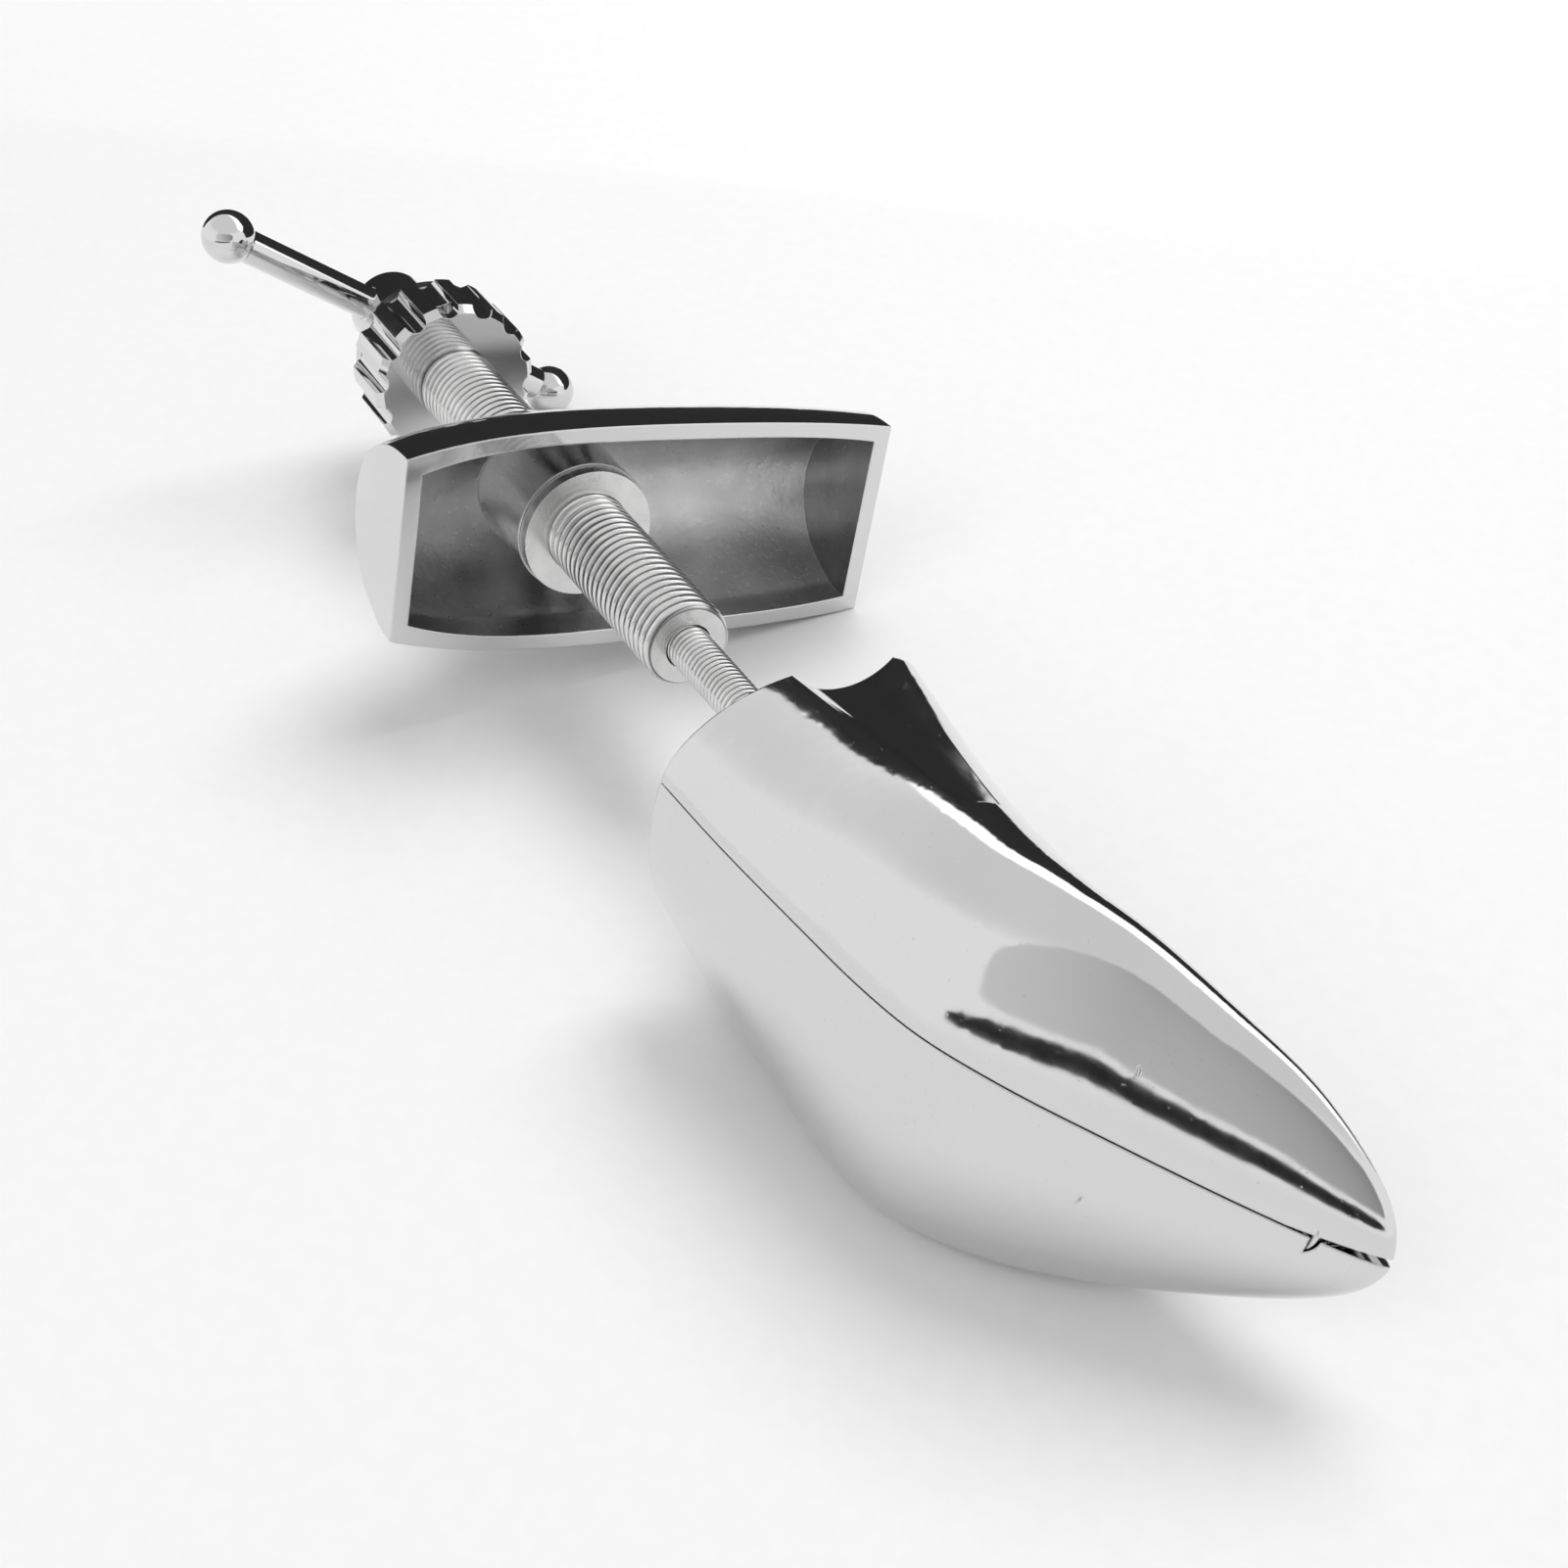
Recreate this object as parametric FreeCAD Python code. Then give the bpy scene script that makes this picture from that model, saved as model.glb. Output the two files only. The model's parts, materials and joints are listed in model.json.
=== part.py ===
"""Two-way metal shoe stretcher: a split toe, a hollow heel and the two screws that drive them apart.

Millimetres. The stretcher lies on its side, as it does on a table: +X runs along the spindle towards
the toe's tip, +Y is the side of the shoe's sole and +Z is up from the table. The pieces are drawn about
the spindle, with x = 0 at the toe's rear face, and are then moved so that the origin is under the
middle of the whole object.
"""
import FreeCAD
import Part
import math
import os

from FreeCAD import Vector

# Toe: outer form. It lies turned about the spindle, with the vamp up. The upper half is the inner side of
# the foot, with a hollow waist, and the lower half is the outer side, which is fuller.
toe_length = 118.0
toe_roll = 20.0               # degrees
vamp_height = 28.0            # spindle to the crown of the vamp, at the rear
sole_depth = 26.0             # spindle to the sole, near the tip
inner_half_width = 27.0       # at the ball, on the upper half
outer_half_width = 33.0       # and on the lower half
seam_gap = 0.3                # between the two halves
toe_wall = 3.0
toe_rear_wall = 4.0
tip_share = 0.93              # where the tip lies between the spindle and the sole
vamp_roundness = 1.9          # exponent of a section's curve on the vamp's side
inner_sole_roundness = 1.7    # and on the sole's side, where the inner side is drawn in
outer_sole_roundness = 2.6
section_steps = 10            # points round half a section
form_sections = 22            # sections along the toe's form

# Each row: place along the toe, then shares of the vamp's height and the sole's depth
toe_profile_shares = (
    (0.00, 1.00, 0.79),
    (0.15, 0.96, 0.73),
    (0.32, 0.88, 0.67),
    (0.46, 0.80, 0.65),
    (0.56, 0.68, 0.67),
    (0.66, 0.43, 0.73),
    (0.76, 0.10, 0.81),
    (0.86, -0.25, 0.90),
    (0.94, -0.56, 0.96),
    (0.98, -0.74, 0.97),
)
# For the same rows: share of the half width, and where from the vamp to the sole the half is widest
inner_flank_shares = (
    (0.87, 0.74), (0.89, 0.63), (0.93, 0.47), (0.96, 0.38), (0.98, 0.33),
    (0.95, 0.32), (0.82, 0.36), (0.66, 0.42), (0.43, 0.47), (0.24, 0.50),
)
outer_flank_shares = (
    (0.84, 0.36), (0.92, 0.33), (0.99, 0.30), (1.02, 0.28), (1.00, 0.28),
    (0.92, 0.32), (0.76, 0.37), (0.54, 0.42), (0.33, 0.46), (0.18, 0.50),
)
# The hollow: place along the toe, and its half width as a share of the outside's
toe_hollow_shares = (
    (0.15, 0.60),
    (0.32, 0.76),
    (0.50, 0.86),
    (0.62, 0.87),
    (0.72, 0.85),
    (0.80, 0.78),
)
hollow_rear_half_width = 11.6

# Toe: the flute that hollows the inner side's waist, from the rear face to where it runs out
flute_radius = 12.0           # at the rear face
flute_end_radius = 4.0
flute_offset = 4.5            # from the spindle towards the vamp
flute_end_offset = 7.0
flute_floor = 17.5            # from the split to the flute's floor, at the rear face
flute_end_floor = 23.5
flute_length = 46.0

# Toe: hinge at the tip
hinge_from_tip = 9.5
hinge_pin_radius = 1.5
hinge_lug_radius = 3.2
hinge_lug_width = 3.4         # the middle lug, on the lower half
hinge_ear_width = 2.2         # the two ears, on the upper half
hinge_clearance = 0.3
hinge_share = 0.78            # where the hinge lies between the spindle and the sole
opening_angle = 5.6           # degrees, with the wedge run right in
relief_angle = 6.2            # degrees, of the faces ahead of the hinge

# Spindle
rod_radius = 4.0
rod_pitch = 1.25
rod_chamfer = 0.8
rod_in_toe = 64.0             # from the toe's rear face to the rod's front end
running_clearance = 0.05      # radial, of a shaft in its bore
end_play = 0.1                # along a shaft, at each shoulder
cross_pin_radius = 1.25

# Bearing at the toe's rear
ring_radius = 10.0
ring_proud = 6.0              # the ring stands out of the toe's rear face
ring_thickness = 3.6
ring_chamfer = 0.8
ring_gap = 1.0                # between the ring and the opening round it
bush_radius = 7.2
ring_mouth_clearance = 0.6    # radial, round the rod at the ring's face
ring_mouth_depth = 3.0
bearing_start = 4.6           # from the toe's rear face to the bearing block
bearing_length = 11.0
bearing_lug_radius = 10.4
foot_reach_vamp = 16.0        # reach of the block's feet, to each side of the spindle
foot_reach_sole = 17.0
foot_root = 7.0               # where a foot starts, inside the lug
foot_top = 1.0                # below the split
foot_height = 3.4
seat_gap = 0.05               # between a casting and the piece that sits in it
lock_nut_length = 4.4
lock_nut_radius = 9.6
lock_nut_sides = 6

# Screws that hold the bearing block, in notches open to the toe's rear
foot_screw_vamp = 13.6        # from the spindle, on the side of the vamp
foot_screw_sole = 14.2        # and on the side of the sole
foot_plate = 2.6              # thickness of the casting between a foot and its washer
foot_screw_radius = 2.0
foot_screw_grip = 2.8         # length in the foot
notch_clearance = 0.5         # round the washer
foot_head_radius = 3.9
foot_head_height = 2.8
washer_radius = 4.4
washer_thickness = 1.0

# Thrust collar on the rod, inside the toe
thrust_washer_thickness = 1.2
thrust_washer_radius = 8.0
collar_radius = 8.0
collar_length = 6.0

# Wedge, its rail on the lower half and the presser on the upper half
wedge_gap = 0.6               # from the collar to the wedge, run right out
wedge_length = 30.0
wedge_half_width = 5.5
wedge_nose_height = 6.6       # above the spindle, at the wedge's front end
wedge_travel = 22.0
wedge_base = 8.0              # below the spindle
rail_half_width = 6.5
rail_gap = 0.3
tongue_half_width = 2.6
tongue_height = 1.8
presser_radius = 3.0
presser_half_width = 7.0
presser_from_nose = 5.0       # from the wedge's front end to the presser, at rest
presser_gap = 0.3

# Closing spring and its two anchors
spring_place_share = 0.74     # along the toe
anchor_height = 10.4          # from the split to each anchor
spring_offset = 10.5          # from the spindle towards the sole
spring_radius = 4.0
spring_wire_radius = 0.6
spring_turns = 7
spring_gap = 0.3
anchor_radius = 1.5
anchor_seat = 1.5             # how far an anchor reaches into each wall

# Sleeve
sleeve_radius = 8.0
sleeve_pitch = 2.0
sleeve_bore_clearance = 0.25
sleeve_chamfer = 1.3
sleeve_length = 120.0
sleeve_from_toe = 46.0        # the toe's rear face to the sleeve's front end
sleeve_neck_radius = 6.8
sleeve_neck_length = 9.0

# Heel
heel_from_sleeve_end = 41.0   # the sleeve's front end to the heel's open edge
heel_reach = 60.0             # spindle to the flat base
heel_top = 38.0               # spindle to the other end
heel_half_width = 22.5
heel_depth = 28.5
heel_wall = 3.0
heel_end_wall = 3.2
heel_roundness = 2.1
# Each row: place as a share of the reach to that end, then shares of the half width and the depth
heel_base_shares = ((1.00, 0.88, 0.88), (0.55, 0.97, 0.97), (0.0, 1.0, 1.0))
heel_top_shares = ((0.55, 0.95, 0.95), (1.00, 0.80, 0.80))
boss_radius = 13.0
boss_tail_radius = 10.4
boss_tail_length = 6.0        # behind the heel's back
boss_lip = 2.0
boss_front_gap = 5.0          # behind the heel's open edge
nut_radius = 10.0
nut_flange_radius = 12.6
nut_flange_length = 2.6

# Hand wheel on the sleeve
wheel_radius = 17.0
wheel_rim_chamfer = 1.4
wheel_grooves = 14
wheel_groove_radius = 2.2
wheel_pocket_radius = 10.4
rear_collar_radius = 9.6
rear_collar_length = 5.0
rear_washer_thickness = 1.0
cap_thickness = 2.6
cap_radius = 15.0
cap_screw_circle = 12.8
cap_screw_count = 3
cap_screw_radius = 1.0
cap_screw_length = 5.0
cap_head_radius = 1.8
cap_head_height = 1.2
grub_radius = 2.0

# Handle on the rod
hub_gap = 0.8                 # from the heads of the cap's screws to the hub
hub_radius = 8.5
hub_length = 21.0
hub_chamfer = 1.2
hub_socket = 9.0              # length of rod held in the hub
bar_radius = 3.5
bar_half_length = 42.0
ball_radius = 5.5
ball_socket = 4.0

overrun = 2.0                 # how far a cut runs past the face it opens

# Worked out from the sizes above
X_AXIS = Vector(1, 0, 0)
Y_AXIS = Vector(0, 1, 0)
Z_AXIS = Vector(0, 0, 1)
ORIGIN = Vector(0, 0, 0)
half_seam = seam_gap / 2
hinge_x = toe_length - hinge_from_tip
hinge_y = sole_depth * hinge_share
INNER = (inner_half_width, inner_flank_shares, inner_sole_roundness)
OUTER = (outer_half_width, outer_flank_shares, outer_sole_roundness)
rod_bore = rod_radius + running_clearance
bearing_end = bearing_start + bearing_length
bush_end = bearing_end + lock_nut_length
thrust_washer_start = bush_end + end_play
collar_start = thrust_washer_start + thrust_washer_thickness
collar_end = collar_start + collar_length
wedge_start = collar_end + wedge_gap
wedge_nose = wedge_start + wedge_length
presser_x = wedge_nose - presser_from_nose
wedge_rise = (hinge_x - presser_x) * math.sin(math.radians(opening_angle))
wedge_slope = wedge_rise / wedge_travel
foot_bottom = foot_top + foot_height
foot_seat = foot_bottom + foot_plate
spacer_start = ring_thickness - ring_proud
sleeve_front = -sleeve_from_toe
sleeve_rear = sleeve_front - sleeve_length
heel_front = sleeve_front - heel_from_sleeve_end
heel_back = heel_front - heel_depth
boss_front = heel_front - boss_front_gap
boss_end = heel_back - boss_tail_length
wheel_front = sleeve_rear + sleeve_neck_length
rear_washer_front = sleeve_rear - end_play
rear_collar_front = rear_washer_front - rear_washer_thickness
rear_collar_end = rear_collar_front - rear_collar_length
rear_washer_end = rear_collar_end - rear_washer_thickness
wheel_rear = rear_washer_end - end_play
cap_rear = wheel_rear - cap_thickness
hub_front = cap_rear - cap_head_height - hub_gap
hub_rear = hub_front - hub_length
rod_rear = hub_front - hub_socket
bar_x = (rod_rear + hub_rear) / 2


def cylinder(radius, start, end, y=0.0, z=0.0):
    """A round bar along X, from start to end."""
    return Part.makeCylinder(radius, abs(end - start), Vector(min(start, end), y, z), X_AXIS)


def post(radius, x, y, low, high):
    """A round bar along Z, from low to high."""
    return Part.makeCylinder(radius, high - low, Vector(x, y, low), Z_AXIS)


def tube(outer, inner, start, end):
    """A round tube along X about the spindle."""
    low, high = min(start, end), max(start, end)
    return cylinder(outer, low, high).cut(cylinder(inner, low - overrun, high + overrun))


def block(x_range, y_range, z_range):
    """A box between three pairs of limits."""
    sizes = [high - low for low, high in (x_range, y_range, z_range)]
    return Part.makeBox(*sizes, Vector(x_range[0], y_range[0], z_range[0]))


def revolved(profile):
    """A solid turned about the spindle from points given as (x, radius)."""
    points = [Vector(x, 0, radius) for x, radius in profile]
    face = Part.Face(Part.makePolygon(points + points[:1]))
    return face.revolve(ORIGIN, X_AXIS, 360)


def mirrored(shape):
    """The same shape on the other side of the split."""
    return shape.mirror(ORIGIN, Z_AXIS)


def raised(value, roundness):
    """A sine or cosine raised so that its arc is fuller than a circle's."""
    return max(value, 0.0) ** (2 / roundness)


# Toe


def half_section(x, sizes, skirt=0.0):
    """Closed outline of one half of the toe at x: a curve from vamp to sole, closed along the split."""
    vamp, sole, half_width, widest, sole_roundness = sizes
    points = []
    for step in range(section_steps + 1):
        turn = math.pi * step / section_steps
        on_vamp = 2 * step <= section_steps
        reach, roundness = (widest + vamp, vamp_roundness) if on_vamp else (sole - widest, sole_roundness)
        side = -1 if on_vamp else 1
        y = widest + side * reach * raised(abs(math.cos(turn)), roundness)
        points.append(Vector(x, y, half_width * raised(math.sin(turn), roundness)))
    arc = Part.BSplineCurve()
    arc.interpolate(points, InitialTangent=Z_AXIS, FinalTangent=-Z_AXIS)
    corners = [points[-1], points[0]]
    if skirt:
        drop = Vector(0, 0, skirt)
        corners = [points[-1], points[-1] - drop, points[0] - drop, points[0]]
    lines = [Part.makeLine(start, end) for start, end in zip(corners, corners[1:])]
    return Part.Wire([arc.toShape()] + lines)


def toe_rows(half):
    """Each row of the tables in full: place, vamp, sole, half width, widest line and the sole's roundness."""
    ball_half_width, flank_shares, sole_roundness = half
    rows = []
    for (place, vamp, sole), (width, widest) in zip(toe_profile_shares, flank_shares):
        crown = vamp * vamp_height
        depth = sole * sole_depth
        rows.append((place, crown, depth, width * ball_half_width, widest * (depth + crown) - crown,
                     sole_roundness))
    return rows


def row_slopes(rows, number):
    """How fast each size of a row changes along the toe, from the rows on its two sides."""
    before, after = rows[max(number - 1, 0)], rows[min(number + 1, len(rows) - 1)]
    return [(b - a) / (after[0] - before[0]) for a, b in zip(before[1:], after[1:])]


def toe_sizes(half, place):
    """The sizes of a section at a place along the toe, on smooth curves through the rows of the tables."""
    rows = toe_rows(half)
    number = max(count for count, row in enumerate(rows[:-1]) if row[0] <= place)
    before, after = rows[number], rows[number + 1]
    span = after[0] - before[0]
    part = (place - before[0]) / span
    ease = part * part * (3 - 2 * part)
    leaving = span * part * (1 - part) ** 2
    arriving = span * part ** 2 * (part - 1)
    slopes = zip(row_slopes(rows, number), row_slopes(rows, number + 1))
    return [a + ease * (b - a) + leaving * first + arriving * last
            for a, b, (first, last) in zip(before[1:], after[1:], slopes)]


def toe_form(half):
    """The outer form of one half, standing on the split."""
    last_place = toe_profile_shares[-1][0]
    places = [last_place * number / form_sections for number in range(form_sections + 1)]
    wires = [half_section(place * toe_length, toe_sizes(half, place)) for place in places]
    tip = Part.Vertex(Vector(toe_length, sole_depth * tip_share, 0))
    return Part.makeLoft(wires + [tip], True)


def toe_hollow(half, inset=0.0):
    """The hollow of one half, run past the split; inset draws its sides in."""
    rear = toe_rear_wall / toe_length
    rear_share = hollow_rear_half_width / toe_sizes(half, rear)[2]
    wall = toe_wall + inset
    wires = []
    for place, share in ((rear, rear_share),) + toe_hollow_shares:
        vamp, sole, half_width, widest, sole_roundness = toe_sizes(half, place)
        sizes = (vamp - wall, sole - wall, half_width * share - inset, widest, sole_roundness)
        wires.append(half_section(place * toe_length, sizes, overrun))
    return Part.makeLoft(wires, True)


def waist_flute():
    """The cone that hollows the waist of the inner side, run past the rear face."""
    start = Vector(0, -flute_offset, flute_floor + flute_radius)
    end = Vector(flute_length, -flute_end_offset, flute_end_floor + flute_end_radius)
    reach = end - start
    flare = (flute_radius - flute_end_radius) / reach.Length * overrun
    run = Vector(reach).normalize() * overrun
    return Part.makeCone(flute_radius + flare, flute_end_radius, reach.Length + overrun, start - run, reach)


def toe_half(half):
    """One half as cast: form, hollow and the opening round the ring."""
    shape = toe_form(half).cut(toe_hollow(half))
    shape = shape.cut(cylinder(ring_radius + ring_gap, -overrun, toe_rear_wall + overrun))
    return shape.translated(Vector(0, 0, half_seam))


def hinge_barrel(radius, span):
    """A round lug across the toe about the hinge, between two places on Y."""
    return Part.makeCylinder(radius, span[1] - span[0], Vector(hinge_x, span[0], 0), Y_AXIS)


def widened(span, margin):
    """A pair of limits moved apart by a margin."""
    return span[0] - margin, span[1] + margin


def hinge_lug_span():
    """Reach of the middle lug across the toe."""
    return hinge_y - hinge_lug_width / 2, hinge_y + hinge_lug_width / 2


def hinge_ear_spans():
    """Reach of the two ears, one each side of the middle lug."""
    low, high = widened(hinge_lug_span(), hinge_clearance)
    return (low - hinge_ear_width, low), (high, high + hinge_ear_width)


def hinge_pin_span():
    """Reach of the pin: from the outside of one ear to the outside of the other."""
    first, last = hinge_ear_spans()
    return first[0], last[1]


def hinge_pin():
    """The pin on which the upper half swings."""
    return hinge_barrel(hinge_pin_radius, hinge_pin_span())


def hinge_bore():
    """The pin's hole through the lug and the ears."""
    return hinge_barrel(hinge_pin_radius + running_clearance, hinge_pin_span())


def tip_relief():
    """The slice ahead of the hinge that lets the upper tip dip as the halves open."""
    reach = hinge_from_tip + overrun
    corners = [Vector(hinge_x, 0, 0), Vector(hinge_x + reach, 0, 0),
               Vector(hinge_x + reach, 0, reach * math.tan(math.radians(relief_angle)))]
    face = Part.Face(Part.makePolygon(corners + corners[:1]))
    return face.extrude(Vector(0, 2 * sole_depth, 0)).translated(Vector(0, 0, half_seam))


def anchor_edges(half):
    """Where an anchor's axis meets the two walls of a half's hollow."""
    vamp, sole, half_width, widest, sole_roundness = toe_sizes(half, spring_place_share)
    level = anchor_height / half_width
    fullness = [(1 - level ** n) ** (1 / n) for n in (vamp_roundness, sole_roundness)]
    low = widest - (widest + vamp - toe_wall) * fullness[0]
    high = widest + (sole - toe_wall - widest) * fullness[1]
    return low, high


def spring_anchor(half):
    """The pin across a half that holds one end of the spring, as on the upper half."""
    low, high = anchor_edges(half)
    start = Vector(spring_place_share * toe_length, low - anchor_seat, anchor_height)
    return Part.makeCylinder(anchor_radius, high - low + 2 * anchor_seat, start, Y_AXIS)


def spring_top():
    """Height of the spring's last turn above the split."""
    return anchor_height - anchor_radius - spring_gap - spring_wire_radius


def spring_point(turns):
    """Place and heading of the spring's wire after a number of turns."""
    angle = 2 * math.pi * turns
    rise = 2 * spring_top() / spring_turns
    place = Vector(spring_radius * math.cos(angle), spring_radius * math.sin(angle), rise * turns - spring_top())
    heading = Vector(-math.sin(angle), math.cos(angle), rise / (2 * math.pi * spring_radius))
    return place, heading.normalize()


def arc_from(start, heading, end):
    """The arc that leaves start along a heading and comes to end."""
    chord = end - start
    along = Vector(chord).normalize()
    across = Vector(heading - along * heading.dot(along)).normalize()
    bulge = chord.Length / 2 * math.tan(heading.getAngle(chord) / 2)
    return Part.Arc(start, start + chord / 2 + across * bulge, end).toShape()


def biarc(first, last):
    """Two arcs that join two places and share their headings."""
    (start, leaving), (end, arriving) = first, last
    gap = end - start
    square = 2 * (leaving.dot(arriving) - 1)
    linear = -2 * gap.dot(leaving + arriving)
    reach = (-linear - math.sqrt(linear ** 2 - 4 * square * gap.dot(gap))) / (2 * square)
    before, after = start + leaving * reach, end - arriving * reach
    middle = (before + after) / 2
    return [arc_from(start, leaving, middle), arc_from(middle, (after - before).normalize(), end)]


def closing_spring():
    """The coil that draws the halves together, from one anchor to the other."""
    quarters = [spring_point(quarter / 4) for quarter in range(4 * spring_turns + 1)]
    path = [edge for pair in zip(quarters, quarters[1:]) for edge in biarc(*pair)]
    ring = Part.Wire(Part.makeCircle(spring_wire_radius, *quarters[0]))
    wire = Part.Wire(path).makePipeShell([ring], True)
    return wire.translated(Vector(spring_place_share * toe_length, spring_offset, 0))


def spring_self_gap():
    """Least clear distance between one turn of the spring and the next, measured on points."""
    per_turn = 24
    places = [spring_point(step / per_turn)[0] for step in range(spring_turns * per_turn + 1)]
    pairs = [(a, b) for number, a in enumerate(places) for b in places[number + per_turn // 2:]]
    return min((a - b).Length for a, b in pairs) - 2 * spring_wire_radius


def presser_height():
    """Height of the presser's axis above the spindle, at rest on the wedge."""
    face_height = wedge_nose_height + presser_from_nose * wedge_slope
    return face_height + (presser_gap + presser_radius) * math.hypot(1, wedge_slope)


def presser():
    """The rib of the upper half whose round foot rides up the wedge."""
    sides = (-presser_half_width, presser_half_width)
    height = presser_height()
    rib = block((presser_x - presser_radius, presser_x + presser_radius), sides, (height, inner_half_width))
    foot = Part.makeCylinder(presser_radius, sides[1] - sides[0], Vector(presser_x, sides[0], height), Y_AXIS)
    return rib.common(toe_form(INNER)).fuse(foot)


def toe_upper_half():
    """The half that swings: casting, flute, ears, presser and the seats of its spring anchor."""
    shape = toe_half(INNER).cut(waist_flute()).cut(tip_relief())
    shape = shape.cut(hinge_barrel(hinge_lug_radius + hinge_clearance,
                                   widened(hinge_lug_span(), hinge_clearance)))
    ears = [hinge_barrel(hinge_lug_radius, span) for span in hinge_ear_spans()]
    shape = shape.fuse(ears + [presser()])
    return shape.cut(hinge_bore()).cut(spring_anchor(INNER))


def wedge_rail():
    """The rib of the lower half that carries the wedge, with the tongue that keeps it from turning."""
    along = (wedge_start, wedge_nose + wedge_travel)
    floor = -wedge_base - rail_gap
    rib = block(along, (-rail_half_width, rail_half_width), (-outer_half_width, floor))
    rib = rib.common(mirrored(toe_form(OUTER)))
    tongue = block(along, (-tongue_half_width, tongue_half_width), (floor, floor + tongue_height))
    return rib.fuse(tongue)


def foot_screw_places():
    """Place on Y of each screw of the bearing block."""
    return -foot_screw_vamp, foot_screw_sole


def foot_notch(y):
    """The notch for a screw's head and washer, open below and at the toe's rear."""
    radius = washer_radius + notch_clearance
    low = -2 * outer_half_width
    slot = block((-overrun, bearing_middle()), (y - radius, y + radius), (low, -foot_seat))
    return slot.fuse(post(radius, bearing_middle(), y, low, -foot_seat))


def foot_spans():
    """Reach on Y of the bearing block's two feet."""
    return (-foot_reach_vamp, -foot_root), (foot_root, foot_reach_sole)


def bearing_middle():
    """Middle of the bearing block along the spindle."""
    return (bearing_start + bearing_end) / 2


def foot_pads():
    """The raised seats of the lower half under the bearing block's feet."""
    form = mirrored(toe_form(OUTER))
    pads = []
    for span in foot_spans():
        pads.append(block((toe_rear_wall, bearing_end), span, (-outer_half_width, -foot_bottom)).common(form))
    return pads


def toe_lower_half():
    """The half that carries the spindle: casting, middle lug, rail, pads and screw seats."""
    shape = mirrored(toe_half(OUTER))
    for span in hinge_ear_spans():
        shape = shape.cut(hinge_barrel(hinge_lug_radius + hinge_clearance, widened(span, hinge_clearance)))
    shape = shape.fuse([hinge_barrel(hinge_lug_radius, hinge_lug_span()), wedge_rail()] + foot_pads())
    shape = shape.cut(cylinder(bearing_lug_radius + seat_gap, 0, bearing_end))
    for y in foot_screw_places():
        shape = shape.cut(foot_notch(y))
        shape = shape.cut(post(foot_screw_radius + seat_gap, bearing_middle(), y, -foot_seat - overrun, 0))
    return shape.cut(hinge_bore()).cut(mirrored(spring_anchor(OUTER)))


# Bearing of the spindle in the toe


def bearing_block():
    """The block in the toe's rear that holds the bush, on two feet."""
    lug = cylinder(bearing_lug_radius, bearing_start, bearing_end)
    hollow = mirrored(toe_hollow(OUTER, seat_gap))
    feet = [block((bearing_start, bearing_end), span, (-foot_bottom, -foot_top)).common(hollow)
            for span in foot_spans()]
    shape = lug.fuse(feet).cut(cylinder(bush_radius, bearing_start - overrun, bearing_end + overrun))
    for y in foot_screw_places():
        shape = shape.cut(post(foot_screw_radius, bearing_middle(), y, -foot_bottom - overrun,
                               -foot_bottom + foot_screw_grip))
    return shape


def thrust_bush():
    """The flanged bush whose ring stands out of the toe's rear."""
    ring_face = -ring_proud
    mouth = rod_radius + ring_mouth_clearance
    return revolved([
        (ring_face, mouth),
        (ring_face, ring_radius - ring_chamfer),
        (ring_face + ring_chamfer, ring_radius),
        (spacer_start, ring_radius),
        (spacer_start, bush_radius),
        (bush_end, bush_radius),
        (bush_end, rod_bore),
        (ring_face + ring_mouth_depth, rod_bore),
        (ring_face + ring_mouth_depth, mouth),
    ])


def bush_spacer():
    """The black ring between the bush's flange and the block."""
    return tube(ring_radius - ring_chamfer / 2, bush_radius, spacer_start, bearing_start)


def bush_lock_nut():
    """The six-sided nut that draws the bush's shank tight in the block."""
    corners = []
    for side in range(lock_nut_sides):
        turn = 2 * math.pi * side / lock_nut_sides
        corners.append(Vector(bearing_end, lock_nut_radius * math.cos(turn), lock_nut_radius * math.sin(turn)))
    face = Part.Face(Part.makePolygon(corners + corners[:1]))
    nut = face.extrude(Vector(lock_nut_length, 0, 0))
    return nut.cut(cylinder(bush_radius, bearing_end - overrun, bush_end + overrun))


def bearing_screws():
    """The two domed screws that hold the block's feet."""
    screws = []
    under_head = -foot_seat - washer_thickness
    for y in foot_screw_places():
        shank = post(foot_screw_radius, bearing_middle(), y, under_head, -foot_bottom + foot_screw_grip)
        ball = (foot_head_radius ** 2 + foot_head_height ** 2) / (2 * foot_head_height)
        centre = Vector(bearing_middle(), y, under_head - foot_head_height + ball)
        dome = Part.makeSphere(ball, centre)
        dome = dome.common(post(foot_head_radius, bearing_middle(), y, under_head - foot_head_height, under_head))
        screws.append(shank.fuse(dome))
    return Part.makeCompound(screws)


def bearing_washers():
    """The washers under the two screws."""
    washers = []
    low, high = -foot_seat - washer_thickness, -foot_seat
    for y in foot_screw_places():
        disc = post(washer_radius, bearing_middle(), y, low, high)
        washers.append(disc.cut(post(foot_screw_radius, bearing_middle(), y, low - overrun, high + overrun)))
    return Part.makeCompound(washers)


# Spindle


def cross_pin_places():
    """Place along the spindle of each cross pin, and the radius of what it holds."""
    return {
        "front_collar_pin": ((collar_start + collar_end) / 2, collar_radius),
        "rear_collar_pin": ((rear_collar_front + rear_collar_end) / 2, rear_collar_radius),
        "hub_pin": ((hub_front + rod_rear) / 2, hub_radius),
    }


def cross_pin(name):
    """A straight pin through the rod and the piece on it."""
    x, reach = cross_pin_places()[name]
    flush = math.sqrt(reach ** 2 - cross_pin_radius ** 2)
    return post(cross_pin_radius, x, 0, -flush, flush)


def cross_hole(name):
    """The hole for a cross pin."""
    x, reach = cross_pin_places()[name]
    return post(cross_pin_radius, x, 0, -reach - overrun, reach + overrun)


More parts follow.
